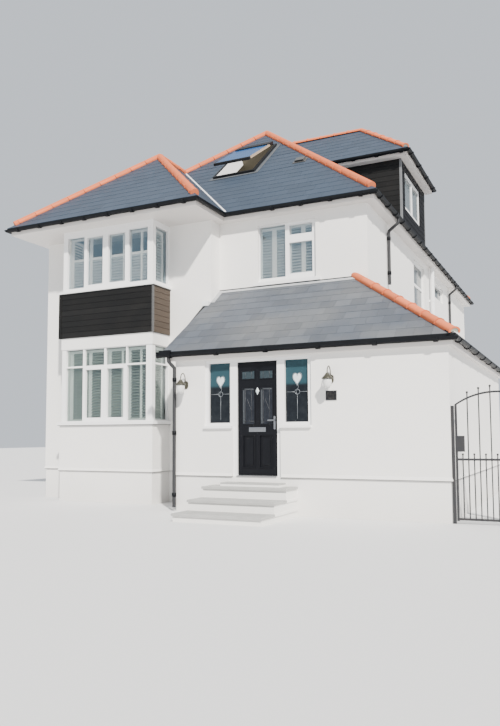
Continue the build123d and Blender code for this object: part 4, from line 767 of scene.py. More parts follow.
CLAD0, CLAD1 = 3.556, 4.540
board_wall("bay_boards", [
    ((0, BY, 0), (1, 0, 0), (0, -1, 0), CLAD0, CLAD1, flat(BX0 + 0.012), flat(BX1 - 0.012)),
    ((BX0, 0, 0), (0, 1, 0), (-1, 0, 0), CLAD0, CLAD1, flat(BY + 0.012), flat(WY - 0.004))])
# The bay's return takes the painted sunlit copy of the black boards
board_wall("bay_side_boards", [((BX1, 0, 0), (0, 1, 0), (1, 0, 0), CLAD0, CLAD1, flat(BY + 0.012),
                                flat(WY - 0.004))],
           mat=M_SUNLIT_BOARD)
TRIM_OUT = 0.022
boxes("bay_corner_trim", [(BX1 - 0.018, BY - TRIM_OUT, 3.552)], [(BX1 + TRIM_OUT, BY + 0.018, 4.544)],
      M_TRIM, bevel=0.003)
boxes("bay_end_trim", [(BX0 - 0.055, BY - TRIM_OUT, 3.552)], [(BX0 + 0.020, BY + 0.100, 4.544)], M_BOARD,
      bevel=0.003)
dw0, dw1, dz0, dz1 = DY0 + 0.335, DY0 + 2.035, 6.890, 7.830
d_top = D_SOFFIT - 0.005
board_wall("dormer_boards", [
    ((0, DY0, 0), (1, 0, 0), (0, -1, 0), 6.38, d_top, roof_x, flat(DX - 0.012)),
    ((0, DY1, 0), (1, 0, 0), (0, 1, 0), 6.38, d_top, roof_x, flat(DX - 0.012))], pitch=0.130)
board_wall("dormer_face_boards", [
    ((DX, 0, 0), (0, 1, 0), (1, 0, 0), 6.39, d_top, flat(DY0 + 0.012), flat(dw0)),
    ((DX, 0, 0), (0, 1, 0), (1, 0, 0), 6.39, d_top, flat(dw1), flat(DY1 - 0.012)),
    ((DX, 0, 0), (0, 1, 0), (1, 0, 0), 6.39, dz0, flat(dw0), flat(dw1)),
    ((DX, 0, 0), (0, 1, 0), (1, 0, 0), dz1, d_top, flat(dw0), flat(dw1))], pitch=0.130, mat=M_BLACK)
boxes("dormer_corner_trims", [(DX - 0.032, DY0 - TRIM_OUT, 6.40), (DX - 0.032, DY1 - 0.032, 6.40)],
      [(DX + TRIM_OUT, DY0 + 0.032, d_top), (DX + TRIM_OUT, DY1 + TRIM_OUT, d_top)], M_DULL, bevel=0.003)


# Gutter straps, pipe collars and lead
def spaced(a, b, gap=0.60, margin=0.25):
    """Even spots between a and b, about gap apart."""
    n = max(2, int(round((b - a - 2 * margin) / gap)) + 1)
    return np.linspace(a + margin, b - margin, n)


def run_x(a, b, y, out, **kw):
    """Spots along a fascia that runs in X."""
    x = spaced(a, b, **kw)
    return np.stack([x, np.full(len(x), y)], 1), (0, out)


def run_y(a, b, x, out, **kw):
    """Spots along a fascia that runs in Y."""
    y = spaced(a, b, **kw)
    return np.stack([np.full(len(y), x), y], 1), (out, 0)


def gutter_straps(name, rows, z, width=0.070):
    """Half rings under a half-round gutter. In the plane square to the fascia a strap is the arc from 186
    to 354 degrees about the gutter's middle, (GUTTER_R + r cos a, r sin a), between the radii of its inner
    and outer face."""
    a = np.radians(np.linspace(186, 354, 9))
    r = np.array([GUTTER_R + 0.0005, GUTTER_R + 0.018, GUTTER_R + 0.018, GUTTER_R + 0.0005])
    w = np.array([-1, -1, 1, 1]) * width / 2
    parts = []
    faces = np.vstack([grid_faces(9, 4, wrap_v=True)[:, ::-1], [[3, 2, 1, 0]],
                       np.array([[0, 1, 2, 3]]) + 32])
    for spots, out in rows:
        out3 = np.array([out[0], out[1], 0.0])
        along = np.cross(out3, UP)
        base = np.concatenate([spots, np.full((len(spots), 1), z)], 1) + GUTTER_R * out3
        arc = (r * np.cos(a)[:, None])[..., None] * out3 + (r * np.sin(a)[:, None])[..., None] * UP
        ring = arc + w[None, :, None] * along
        parts.append(((base[:, None, None, :] + ring[None]).reshape(-1, 3),
                      repeated(faces, len(spots), 36)))
    return mesh_piece(name, *joined(parts), M_GUTTER, slot="gutter")


gutter_straps("main_gutter_straps", [
    run_x(WX + FASCIA + 0.9, XR + FASCIA, YF - FASCIA, -1), run_x(XL - FASCIA, XR + FASCIA, YB + FASCIA, 1),
    run_y(YF - FASCIA, YB + FASCIA, XR + FASCIA, 1), run_y(WY - FRONT, YB + FASCIA, XL - FASCIA, -1),
    run_x(XL - FASCIA, WX + FASCIA, WY - FRONT, -1)], EAVE_Z - 0.035)
gutter_straps("hall_gutter_straps", [
    run_x(WX - 0.3, HX + HALL_FASCIA, HY - HALL_FASCIA, -1, gap=0.92),
    run_y(HY - HALL_FASCIA, HYB + 0.1, HX + HALL_FASCIA, 1, gap=0.92)], HALL_Z - 0.050)
d_low = xro - (D_SOFFIT - EAVE_Z) / rise + 0.1
gutter_straps("dormer_gutter_straps", [
    run_x(d_low, DX + D_FASCIA, DY0 - D_FASCIA, -1, gap=0.7, margin=0.12),
    run_x(d_low, DX + D_FASCIA, DY1 + D_FASCIA, 1, gap=0.7, margin=0.12),
    run_y(DY0 - D_FASCIA, DY1 + D_FASCIA, DX + D_FASCIA, 1, gap=0.8, margin=0.2)], D_Z - 0.035)

collars = [(WX + 0.002, HY - 0.048, z) for z in (0.30, 1.45, 2.45)]
collars += [(XR + 0.048, YF + 1.5, z) for z in (4.85, 5.60)]
collars += [(XR + 0.048, YF + 9.02, z) for z in (0.5, 2.3, 4.1, 5.5)]
tubes("downpipe_collars", [np.array([[x, y, z - 0.035], [x, y, z + 0.035]]) for x, y, z in collars], 0.043,
      M_GUTTER, sides=20, slot="gutter")


valley = np.array([(wxo, yfo, EAVE_Z), junction])
VALLEY_HALF = 0.030
edge_a, edge_b = valley + np.array([0, -VALLEY_HALF, 0.0]), valley + np.array([VALLEY_HALF, 0, 0.0])
grid = np.stack([edge_a + UP * 0.022, valley + UP * 0.014, edge_b + UP * 0.022, edge_b, valley - UP * 0.002,
                 edge_a], 1)
mesh_piece("valley_lead", grid.reshape(-1, 3), grid_faces(2, 6, wrap_v=True)[:, ::-1], M_PALE_LEAD)

# Lead where the hall's slates meet the walls, with a dark strip over it: painted shade in the gap at the
# wall
hall_top_f = HALL_Z + HALL_HALF * math.tan(HALL_PITCH)
hall_top_s = HALL_Z + HALL_HALF * math.tan(SIDE_PITCH)
x_hip = hxo - HALL_HALF * k
tilted("front_wall_apron", (0, YF, hall_top_f), (1, 0, 0), (0, ch, sh), [(WX + 0.005, -0.105, 0.006)],
       [(x_hip - 0.02, -0.012, 0.018)], M_LEAD)
tilted("side_wall_apron", (XR, 0, hall_top_s), (0, 1, 0), (-cs, 0, ss), [(YF + 0.02, -0.105, 0.006)],
       [(HYB + HALL_OVER, -0.012, 0.018)], M_LEAD)
tilted("return_wall_apron", (WX, hyo, HALL_Z), (1, 0, 0), (0, ch, sh), [(0.004, vs - 0.05, 0.006)],
       [(0.095, vh - 0.01, 0.020)], M_LEAD)
# The hall gutter's left end: a deep stop end over the union that the downpipe leaves from
boxes("gutter_stop_end", [(WX - 0.335, HY - 0.1935, HALL_Z - 0.052),
                          (WX - 0.270, HY - 0.188, HALL_Z - 0.060)],
      [(WX - 0.300, HY - 0.083, HALL_Z + 0.004), (WX - 0.020, HY - 0.083, HALL_Z + 0.030)], M_GUTTER,
      bevel=0.006, slot="gutter")
# Dark strip along the walls just above the aprons: painted shade
boxes("wall_gap_shade", [(WX + 0.002, YF - 0.010, hall_top_f + 0.004),
                   (XR + 0.001, YF + 0.01, hall_top_s + 0.004)],
      [(x_hip, YF - 0.0005, hall_top_f + 0.030), (XR + 0.010, HYB + HALL_OVER, hall_top_s + 0.030)], M_SASH)
# The hall's left verge splays out to the gutter's end: a wedge under its slates, square to the slope
corners = np.array([(WX - VERGE, 0), (WX, 0), (WX, vs - 0.004), (WX - 0.050, vs - 0.004)])
top_face = np.array([0, hyo, HALL_Z]) + corners[:, :1] * (1, 0, 0) + corners[:, 1:] * (0, ch, sh)
wedge = np.vstack([top_face, top_face + np.array([0, sh, -ch]) * 0.055])
wedge_faces = np.array([[0, 1, 2, 3], [7, 6, 5, 4], [0, 4, 5, 1], [1, 5, 6, 2], [2, 6, 7, 3], [3, 7, 4, 0]])
mesh_piece("verge_board", wedge, wedge_faces, M_EAVES, slot="eaves")
step_y = WY - 0.05
step_z = HALL_Z + (step_y - hyo) * math.tan(HALL_PITCH)
boxes("verge_lead", [(WX - 0.150, step_y - 0.10, step_z - 0.055)],
      [(WX - 0.004, WY - 0.002, step_z + 0.050)], M_PALE_LEAD, bevel=0.006)


# Lip where the wall render stops over the plinth, with a grey strip of painted shade under it
BELL = [(-0.012, -0.004), (0.016, -0.004), (0.017, 0.004), (0.010, 0.022), (0.003, 0.045), (-0.004, 0.060)]
# Profile of the strip of painted shade just under the lip, not a groove
DRIP_SHADE_STRIP = [(-0.012, -0.014), (0.010, -0.014), (0.010, -0.004), (-0.012, -0.004)]


def drip(name, line, z=GROUND, prof=BELL, mat=M_RENDER, **kw):
    """A lip along a line in plan: profile offsets (out, up) mitred at each corner."""
    prof = np.array(prof)
    line = np.asarray(line, float)
    d = np.diff(line, axis=0)
    d /= np.linalg.norm(d, axis=1, keepdims=True)
    nrm = np.stack([d[:, 1], -d[:, 0]], 1)
    mit = np.vstack([nrm[:1], (nrm[:-1] + nrm[1:]), nrm[-1:]])
    mit[1:-1] /= (mit[1:-1] * nrm[:-1]).sum(1, keepdims=True)
    xy = line[:, None, :] + mit[:, None, :] * prof[None, :, 0, None]
    level = np.broadcast_to(z + prof[None, :, 1], xy.shape[:2])
    verts = np.concatenate([xy, level[..., None]], -1)
    return mesh_piece(name, verts, grid_faces(len(line), len(prof), wrap_v=True), mat, **kw)


for run_name, line in (("front", [(XL, YB), (XL, WY), (BX0, WY), (BX0, BY), (BX1, BY), (BX1, WY), (WX, WY),
                                  (WX, HY), (DOOR_L - 0.09, HY)]),
                       ("right", [(DOOR_R + 0.09, HY), (HX, HY), (HX, HYB), (XR, HYB), (XR, YB),
                                  (XL, YB)])):
    drip("render_drip_" + run_name, line, slot="render")
    # A grey strip of painted shade under each lip
    drip("drip_shade_" + run_name, line, prof=DRIP_SHADE_STRIP, mat=M_DRIP_SHADE)
SILL_OUT = 0.034
SILL_SHADE_STRIP = [(-SILL_OUT, -0.010), (0.0, -0.010), (0.0, -0.0005), (-SILL_OUT, -0.0005)]
LOW_SILL, HIGH_SILL = 1.640, 4.546
sill_y = BY - SILL_OUT
bay_line = [(BX0 - SILL_OUT, WY), (BX0 - SILL_OUT, sill_y), (BX1 + SILL_OUT, sill_y), (BX1 + SILL_OUT, WY)]
# Strips of painted shade under the bay's sills
drip("lower_sill_shade", bay_line, z=LOW_SILL, prof=SILL_SHADE_STRIP, mat=M_DRIP_SHADE)
drip("upper_sill_shade", bay_line, z=HIGH_SILL, prof=SILL_SHADE_STRIP, mat=M_DRIP_SHADE)

# Front windows: openings are (from, to, foot, head), across from the left of the bay or of the house
LOW_LIGHTS = [(0.141, 0.6015, 1.725, 2.890), (0.6745, 1.099, 1.795, 2.835), (1.244, 1.6775, 1.795, 2.840),
              (1.7655, 2.247, 1.725, 2.890)]
LOW_LIGHTS += [(p, q, 2.924, 3.284) for p,
               q in ((0.141, 0.6015), (0.6475, 1.171), (1.209, 1.7395), (1.7655, 2.247))]
UP_LIGHTS = [(0.138, 0.6005, 4.657, 5.804), (0.674, 1.1015, 4.702, 5.761), (1.2455, 1.692, 4.702, 5.761),
             (1.7845, 2.267, 4.657, 5.804)]
HOUSE_LIGHTS = [(5.340, 5.928, 4.667, 5.773), (6.017, 6.521, 5.530, 5.735), (6.011, 6.521, 4.718, 5.364)]
FW_L, FW_R, FW_SILL, FW_HEAD = XL + 5.330, XL + 6.615, 4.560, 5.790


def lattice(low, high, holes, axis):
    """Verts and faces of an upright slab with rectangular openings, square to axis. Its cells lie between
    the sorted edges of the openings: a cell that no opening covers has its two faces, and a side face
    wherever the next cell is open."""
    along = 1 - axis
    us = np.unique([low[along], high[along]] + [q for h in holes for q in h[:2]])
    zs = np.unique([low[2], high[2]] + [q for h in holes for q in h[2:]])
    full = np.zeros((len(us) + 1, len(zs) + 1), bool)
    full[1:-1, 1:-1] = True
    um, zm = (us[1:] + us[:-1]) / 2, (zs[1:] + zs[:-1]) / 2
    for u0, u1, z0, z1 in holes:
        full[1:-1, 1:-1] &= ~(((um > u0) & (um < u1))[:, None] & ((zm > z0) & (zm < z1))[None, :])
    verts = np.zeros((len(us), len(zs), 2, 3))
    verts[..., along] = us[:, None, None]
    verts[..., 2] = zs[None, :, None]
    verts[..., axis] = np.array([low[axis], high[axis]])
    number = np.arange(verts[..., 0].size).reshape(verts.shape[:3])
    quads, facing = [], []
    for i, j in np.argwhere(full[1:-1, 1:-1]):
        n = number[i:i + 2, j:j + 2]
        sides = [(n[:, :, 0], axis, -1), (n[:, :, 1], axis, 1)]
        sides += [(n[0], along, -1)] * (not full[i, j + 1]) + [(n[1], along, 1)] * (not full[i + 2, j + 1])
        sides += [(n[:, 0], 2, -1)] * (not full[i + 1, j]) + [(n[:, 1], 2, 1)] * (not full[i + 1, j + 2])
        for q, ax, sign in sides:
            quads.append(q.ravel()[[0, 1, 3, 2]])
            facing.append((ax, sign))
    quads, (ax, sign), verts = np.array(quads), np.array(facing).T, verts.reshape(-1, 3)
    normal = np.cross(verts[quads[:, 1]] - verts[quads[:, 0]], verts[quads[:, 2]] - verts[quads[:, 1]])
    flip = normal[np.arange(len(quads)), ax] * sign < 0
    quads[flip] = quads[flip, ::-1]
    used, quads = np.unique(quads, return_inverse=True)
    return verts[used], quads.reshape(-1, 4)


def window_piece(name, node, slabs):
    """A window frame of several slabs, standing for its CAD node."""
    obj = mesh_piece(name, *joined([lattice(*s) for s in slabs]), M_WHITE, slot="white_plastic")
    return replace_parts(obj, node)


def bay_window(name, node, z0, z1, lights, returns, sill):
    """The bay's frame: a front slab, two returns and a sill that runs round all three."""
    holes = [(BX0 + p, BX0 + q, c, d) for p, q, c, d in lights]
    sides = [(BY + 0.135, BY + 0.625, c, d) for c, d in returns]
    f, t, s = 0.025, 0.085, 0.045
    slabs = [((BX0 + f, BY + f, z0), (BX1 - f, BY + t, z1), holes, 1),
             ((BX0 + f, BY + t, z0), (BX0 + t, WY, z1), sides, 0),
             ((BX1 - t, BY + t, z0), (BX1 - f, WY, z1), sides, 0),
             ((BX0 - s, BY - s, z0), (BX1 + s, BY + f, z0 + sill), [], 1),
             ((BX0 - s, BY + f, z0), (BX0 + f, WY, z0 + sill), [], 0),
             ((BX1 - f, BY + f, z0), (BX1 + s, WY, z0 + sill), [], 0)]
    return window_piece(name, node, slabs)


bay_window("bay_lower_frame", "bay_lower_window", LOW_SILL, 3.300, LOW_LIGHTS,
           [(1.735, 2.890), (2.924, 3.284)], 0.070)
bay_window("bay_upper_frame", "bay_upper_window", HIGH_SILL, 5.948, UP_LIGHTS, [(4.657, 5.820)], 0.040)
window_piece("front_window_frame", "front_window", [
    ((FW_L, YF + 0.060, FW_SILL), (FW_R, YF + 0.120, FW_HEAD),
     [(XL + p, XL + q, c, d) for p, q, c, d in HOUSE_LIGHTS], 1),
    ((FW_L - 0.1, YF - 0.045, FW_SILL - 0.050), (FW_R + 0.1, YF, FW_SILL), [], 1),
    ((FW_L, YF - 0.045, FW_SILL), (FW_R, YF + 0.060, FW_SILL + 0.020), [], 1)])


def louvres(name, wins, mat, pitch=0.060, depth=0.066, thick=0.009):
    """Shutter slats behind the panes: each slat is a thin slab whose section is turned by its window's
    tilt about its length. wins are (centre x, centre y, along, width, z0, z1, tilt)."""
    parts = []
    faces = np.array([[0, 1, 5, 4], [1, 2, 6, 5], [2, 3, 7, 6], [3, 0, 4, 7], [3, 2, 1, 0], [4, 5, 6, 7]])
    for cx, cy, along, width, z0, z1, tilt in wins:
        c, s = math.cos(tilt), math.sin(tilt)
        along = np.array([along[0], along[1], 0.0])
        inward = np.array([-along[1], along[0], 0.0])
        n = int((z1 - z0 - 0.10) / pitch)
        z = z0 + 0.075 + (z1 - z0 - 0.15) * np.arange(n) / max(1, n - 1)
        sec = np.array([(-depth, -thick), (depth, -thick), (depth, thick), (-depth, thick)]) / 2
        sec = np.stack([sec[:, 0] * c - sec[:, 1] * s, sec[:, 0] * s + sec[:, 1] * c], 1)
        ends = np.array([-width / 2, width / 2])
        pts = (np.array([cx, cy, 0.0]) + ends[None, :, None, None] * along
               + sec[None, None, :, 0, None] * inward
               + (z[:, None, None, None] + sec[None, None, :, 1, None]) * UP)
        parts.append((pts.reshape(-1, 3), repeated(faces, n, 8)))
    return mesh_piece(name, *joined(parts), mat)


def shutters(name, axis, plane, stiles, z0, z1, tilts, mat, top=None):
    """Louvred leaves in one upright plane: stiles are (from, to) along it, slats fill the gaps between
    them, and rails close each gap. Where top is given, the stiles run on to it over an open upper tier."""
    ends = top or z1
    gaps = [(p[1], q[0]) for p, q in zip(stiles, stiles[1:]) if q[0] - p[1] > 0.05]
    rails = [(p, q, c, c + 0.05) for p, q in gaps for c in {z0, z1 - 0.05, ends - 0.05}]
    low, high = [], []
    for p, q, c, d in [(p, q, z0, ends) for p, q in stiles] + sorted(rails):
        low.append((p, plane - 0.014, c) if axis == 0 else (plane - 0.014, p, c))
        high.append((q, plane + 0.014, d) if axis == 0 else (plane + 0.014, q, d))
    boxes(name + "_stiles", low, high, M_STILE, bevel=0.003)
    along = (1, 0) if axis == 0 else (0, 1)
    wins = [((p + q) / 2, plane, along, q - p, z0, z1, t) if axis == 0 else (plane, (p + q) / 2, along,
                                                                             q - p, z0, z1, t)
            for (p, q), t in zip(gaps, tilts)]
    louvres(name + "_louvres", wins, mat)


LOW_STILES = [(0.174, 0.259), (0.6835, 0.7685), (1.1985, 1.2835), (1.552, 1.606), (1.7145, 1.7995),
              (2.024, 2.078), (2.230, 2.270)]
UP_STILES = [(0.150, 0.235), (0.660, 0.745), (1.190, 1.250), (1.560, 1.600), (1.720, 1.780), (2.020, 2.070),
             (2.230, 2.270)]
HOUSE_STILES = [(5.334, 5.357), (5.585, 5.691), (5.920, 6.030), (6.244, 6.340), (6.500, 6.600)]
sides = [(BY + 0.175, BY + 0.215), (BY + 0.525, BY + 0.575)]
shutters("low_shutter", 0, BY + 0.150, [(BX0 + p, BX0 + q) for p, q in LOW_STILES], 1.72, 3.27,
         [1.0, 0.85, 0.9, 0.9, 0.7, 0.7], M_SHUTTER_LOW)
shutters("upper_shutter", 0, BY + 0.150, [(BX0 + p, BX0 + q) for p, q in UP_STILES], 4.62, 5.33, [1.15] * 6,
         M_SHUTTER, top=5.80)
shutters("front_shutter", 0, YF + 0.180, [(XL + p, XL + q) for p, q in HOUSE_STILES], 4.62, 5.76,
         [1.1, 1.1, 1.0, 0.9], M_SHUTTER)
for key, x in (("left", BX0 + 0.150), ("right", BX1 - 0.150)):
    shutters("low_" + key + "_shutter", 1, x, sides, 1.72, 3.27, [1.0], M_SHUTTER_LOW)
    shutters("upper_" + key + "_shutter", 1, x, sides, 4.62, 5.80, [1.1], M_SHUTTER)

# Panes of the side, back and dormer windows, which the solids carry inside their frames
for pane_name, axis in (("right_window_front", 0), ("right_window_back", 0), ("dormer_window", 0),
                        ("back_window_upper", 1), ("back_window_lower", 1)):
    lo, hi = (np.array(q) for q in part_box(pane_name))
    margin = np.full(3, 0.07)
    margin[axis] = 0
    a, b = lo + margin, hi - margin
    a[axis], b[axis] = hi[axis] - 0.0235, hi[axis] - 0.0215
    boxes(pane_name + "_pane", [a], [b], M_PANE, slot="glass")
lo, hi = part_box("dormer_window")
mid = (lo[1] + hi[1]) / 2
boxes("dormer_window_bar", [(hi[0] - 0.055, mid - 0.035, lo[2] + 0.06)],
      [(hi[0] + 0.004, mid + 0.035, hi[2] - 0.06)], M_WHITE, bevel=0.004, slot="white_plastic")


# Front door
def plates(name, rects, y0, y1, mat, bevel=0.0, **kw):
    """Flat plates on a face that looks to the front: rects are (x centre, z centre, width, height)."""
    low = [(x - w / 2, y0, z - h / 2) for x, z, w, h in rects]
    high = [(x + w / 2, y1, z + h / 2) for x, z, w, h in rects]
    return boxes(name, low, high, mat, bevel=bevel, **kw)


def rims(name, rects, w, y0, y1, mat, **kw):
    """A raised moulding round each opening: four bars, the upright ones between the others."""
    low, high = [], []
    for x, z, ww, hh in rects:
        for a, b, c, d in ((x - ww / 2 - w, x + ww / 2 + w, z - hh / 2 - w, z - hh / 2),
                           (x - ww / 2 - w, x + ww / 2 + w, z + hh / 2, z + hh / 2 + w),
                           (x - ww / 2 - w, x - ww / 2, z - hh / 2, z + hh / 2),
                           (x + ww / 2, x + ww / 2 + w, z - hh / 2, z + hh / 2)):
            low.append((a, y0, c))
            high.append((b, y1, d))
    return boxes(name, low, high, mat, bevel=0.003, **kw)


dc, face = DOOR_MID, LEAF_Y
tall = [(dc + s * 0.178, DOOR_Z + 1.235, 0.235, 0.650) for s in (-1, 1)]
small = [(dc + s * 0.178, DOOR_Z + 1.795, 0.245, 0.135) for s in (-1, 1)]
lowp = [(dc + s * 0.165, DOOR_Z + 0.420, 0.225, 0.560) for s in (-1, 1)]
sunk = [(dc + s * 0.165, DOOR_Z + 1.390, 0.215, 0.760) for s in (-1, 1)]
sunk += [(dc + s * 0.165, DOOR_Z + 1.880, 0.150, 0.130) for s in (-1, 1)]
plates("door_skin_fill", sunk, face - 0.0004, face + 0.0115, M_DOOR, body="door", slot="door")
plates("door_lights", tall, face - 0.0030, face - 0.0006, M_DOORGLASS, body="door")
plates("door_top_lights", small, face - 0.0030, face - 0.0006, M_SMALLGLASS, body="door")
rims("door_mouldings", tall + small + lowp, 0.016, face - 0.009, face + 0.004, M_DOOR, body="door",
     slot="door")
plates("door_raised_panels", [(x, z, w - 0.07, h - 0.07) for x, z, w, h in lowp], face + 0.002,
       face + 0.013, M_DOOR, bevel=0.008, body="door", slot="door")


def came_lines(lines, y):
    """Lines drawn as (x, z), placed on the face at y."""
    return [np.stack([q[:, 0], np.full(len(q), y), q[:, 1]],
                     1) for q in (np.asarray(a, float) for a in lines)]


def seg(x0, z0, x1, z1, n=2):
    """A straight line of n points."""
    return np.stack([np.linspace(x0, x1, n), np.linspace(z0, z1, n)], 1)


u = np.linspace(0, 1, 24)
lines = []
for x, z, w, h in tall:
    zt, zb = z + h / 2, z - h / 2
    lines += [seg(x - 0.06, zt, x - 0.06, zb), seg(x + 0.06, zt, x + 0.06, zb),
              seg(x - w / 2, zt - 0.03, x + w / 2, zt - 0.03),
              seg(x - w / 2, zb + 0.05, x + w / 2, zb + 0.05)]
    # an S between the two uprights: x falls with cos(pi u), swelling at the middle
    swell = np.cos(np.pi * u) * np.cos(0.25 * np.pi * np.sin(np.pi * u))
    lines.append(np.stack([x + 0.02 - 0.040 * swell, z + 0.13 - 0.22 * u], 1))
for x, z, w, h in small:
    lines += [seg(x - 0.06, z + h / 2, x - 0.06, z - h / 2), seg(x + 0.06, z + h / 2, x + 0.06, z - h / 2)]
tubes("door_cames", came_lines(lines, face - 0.0030), 0.0035, M_DOOR_CAME, sides=6, body="door")
bands = [(x, z + h / 2 - 0.018, w - 0.03, 0.018) for x, z, w, h in tall]
bands += [(x - w / 2 + 0.026, z, 0.030, h - 0.02) for x, z, w, h in tall]
plates("door_light_bands", bands, face - 0.0042, face - 0.0026, M_BEVEL, body="door")
dz = DOOR_Z + 1.502
gem = np.array([(0, 0.070), (0.036, 0), (0, -0.070), (-0.036, 0)])
verts = np.concatenate([np.stack([dc + gem[:, 0], np.full(4, face), dz + gem[:, 1]], 1),
                        np.stack([dc + gem[:, 0] * 0.55, np.full(4, face - 0.010), dz + gem[:, 1] * 0.55],
                                 1)])
gem_faces = np.array([[0, 1, 5, 4], [1, 2, 6, 5], [2, 3, 7, 6], [3, 0, 4, 7], [4, 5, 6, 7]])
mesh_piece("door_diamond", verts, gem_faces[:, ::-1], M_PALE, body="door")
lo, hi = (np.array(q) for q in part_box("letter_plate"))
plates("letter_flap", [((lo[0] + hi[0]) / 2, (lo[2] + hi[2]) / 2, 0.250, 0.044)], lo[1] - 0.005,
       lo[1] + 0.002, M_SILVER, bevel=0.004, body="door", slot="silver")
boxes("threshold", [(DOOR_L - 0.004, HY - 0.012, 0.666)], [(DOOR_R + 0.004, HY + 0.039, 0.679)], M_SILVER,
      bevel=0.003)

# Sidelight panes, each with a leaded heart on a stem
side_c = [(FRAME_L + 0.070 + DOOR_L - 0.008 - 0.145) / 2, (DOOR_R + 0.008 + 0.145 + FRAME_R - 0.070) / 2]
u = np.linspace(0, 2 * np.pi, 40)
HEART_Z, RING_Z = 2.395, 2.155
heart_x = 0.088 * np.sin(u) ** 3
heart_z = 0.8 * (0.13 * np.cos(u) - 0.05 * np.cos(2 * u) - 0.02 * np.cos(3 * u) - 0.01 * np.cos(4 * u))
stem = np.linspace(0, 1, 20)
hearts, fills = [], []
for cx in side_c:
    hearts += [np.stack([cx + heart_x, HEART_Z + heart_z], 1),
               np.stack([cx + 0.02 * np.sin(2 * np.pi * stem), 2.30 - 0.20 * stem], 1),
               seg(cx, 2.10, cx, 1.68), seg(cx - 0.20, RING_Z, cx - 0.045, RING_Z),
               seg(cx + 0.045, RING_Z, cx + 0.20, RING_Z),
               np.stack([cx + 0.045 * np.cos(u), RING_Z + 0.045 * np.sin(u)], 1)]
    heart_y = np.full(len(u), FRAME_Y + 0.0518)
    ring = np.stack([cx + heart_x * 0.86, heart_y, HEART_Z + heart_z * 0.86], 1)
    fills.append(np.vstack([[[cx, FRAME_Y + 0.0518, HEART_Z]], ring]))
boxes("sidelight_panes", [(cx - 0.232, FRAME_Y + 0.0530, 1.615) for cx in side_c],
      [(cx + 0.232, FRAME_Y + 0.0565, 2.735) for cx in side_c], M_SIDEGLASS, slot="glass")
tubes("sidelight_cames", came_lines(hearts, FRAME_Y + 0.052), 0.004, M_CAME, sides=6)
fan = np.stack([np.zeros(len(u) - 1, int), np.arange(2, len(u) + 1), np.arange(1, len(u))], 1)
mesh_piece("sidelight_hearts", np.vstack(fills), np.vstack([fan, fan + len(u) + 1]), M_PALE)

# Steps, lamps and number plate
fronts, backs, step_tops = [3.270, 2.770, 2.270], [2.770, 2.270, 1.785], [0.135, 0.315, 0.505]
boxes("tread_slabs", [(XL + 5.284 - 0.017, YF - f - 0.032, t - 0.040) for f, t in zip(fronts, step_tops)],
      [(XL + 6.870 + 0.017, YF - b, t + 0.002) for b, t in zip(backs, step_tops)], M_SLAB, bevel=0.006)
boxes("sill_slab", [(dc - 0.5665, HY - 0.302, 0.540)], [(dc + 0.5665, HY - 0.001, 0.567)], M_SLAB,
      bevel=0.006)
bell = [(0.0715, -0.012), (0.0745, -0.014), (0.0765, -0.060), (0.0645, -0.121), (0.0420, -0.160),
        (0.0, -0.1672)]
band = [(0.094, 0.006), (0.0955, 0.0), (0.0955, -0.008), (0.094, -0.0115)]
for side_name, lx in zip(("left", "right"), LAMPS):
    lathe(side_name + "_lamp_bell", bell, (lx, LAMP_Y, LAMP_Z), M_BELL)
    lathe(side_name + "_lamp_rim", band, (lx, LAMP_Y, LAMP_Z), M_PEWTER, slot="iron")
lo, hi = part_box("number_plate")
boxes("number_plate_inset", [(lo[0] + 0.018, lo[1] - 0.002, lo[2] + 0.018)],
      [(hi[0] - 0.018, lo[1] + 0.004, hi[2] - 0.018)], M_PLATE_IN, bevel=0.001)


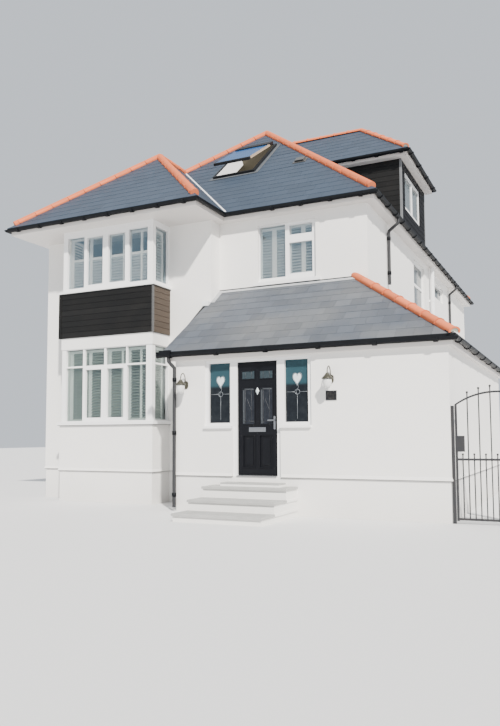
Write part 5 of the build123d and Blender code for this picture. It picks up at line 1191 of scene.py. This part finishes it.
# Stage, light and camera
def stage_floor():
    """A wide pale floor just under the house."""
    mesh = bpy.data.meshes.new("stage_floor")
    s = 60.0
    mesh.from_pydata([(-s, -s, -0.001), (s, -s, -0.001), (s, s, -0.001), (-s, s, -0.001)], [],
                     [(0, 1, 2, 3)])
    obj = bpy.data.objects.new("stage_floor", mesh)
    bpy.context.scene.collection.objects.link(obj)
    mat, tree, bsdf = new_material("stage_pale")
    bsdf.inputs["Base Color"].default_value = (0.72, 0.72, 0.72, 1)
    bsdf.inputs["Roughness"].default_value = 0.9
    mesh.materials.append(mat)


stage_floor()
world = bpy.data.worlds.new("studio")
bpy.context.scene.world = world
world.use_nodes = True
bg = world.node_tree.nodes["Background"]
bg.inputs["Color"].default_value = (0.86, 0.92, 1.0, 1)
bg.inputs["Strength"].default_value = 0.9


def light(name, kind, energy, direction, size=None, color=(1, 1, 1), distance=40.0, target=(0, -4, 3)):
    """A lamp that shines from direction towards target."""
    data = bpy.data.lights.new(name, kind)
    data.energy = energy
    data.color = color
    obj = bpy.data.objects.new(name, data)
    bpy.context.scene.collection.objects.link(obj)
    d = Vector(direction).normalized()
    obj.location = Vector(target) + d * distance
    obj.rotation_euler = (-d).to_track_quat("-Z", "Y").to_euler()
    if kind == "SUN":
        data.angle = size
    elif size:
        data.size = size
    return obj


light("key_sun", "SUN", 8.5, (0.50, -0.58, 0.64), math.radians(2.0), color=(1.0, 0.955, 0.89))

camera_data = bpy.data.cameras.new("camera")
camera_data.sensor_width = 36.0
PHOTO_H, FOCAL_PX, CENTRE_ROW = 726.0, 694.886, 382.849
camera_data.lens = FOCAL_PX * camera_data.sensor_width / PHOTO_H
camera_data.shift_y = (CENTRE_ROW - PHOTO_H / 2) / PHOTO_H
camera_data.clip_end = 200.0
camera = bpy.data.objects.new("camera", camera_data)
bpy.context.scene.collection.objects.link(camera)
yaw, pitch, roll = (math.radians(a) for a in (25.580, 4.386, -0.300))
fwd = Vector((-math.sin(yaw) * math.cos(pitch), math.cos(yaw) * math.cos(pitch), math.sin(pitch)))
right = Vector((math.cos(yaw), math.sin(yaw), 0))
up = right.cross(fwd)
r2 = right * math.cos(roll) + up * math.sin(roll)
u2 = up * math.cos(roll) - right * math.sin(roll)
spot = Vector((11.364 + XL, -13.027 + YF, 1.381))
camera.matrix_world = Matrix(((r2.x, u2.x, -fwd.x, spot.x), (r2.y, u2.y, -fwd.y, spot.y),
                              (r2.z, u2.z, -fwd.z, spot.z), (0, 0, 0, 1)))
bpy.context.scene.camera = camera
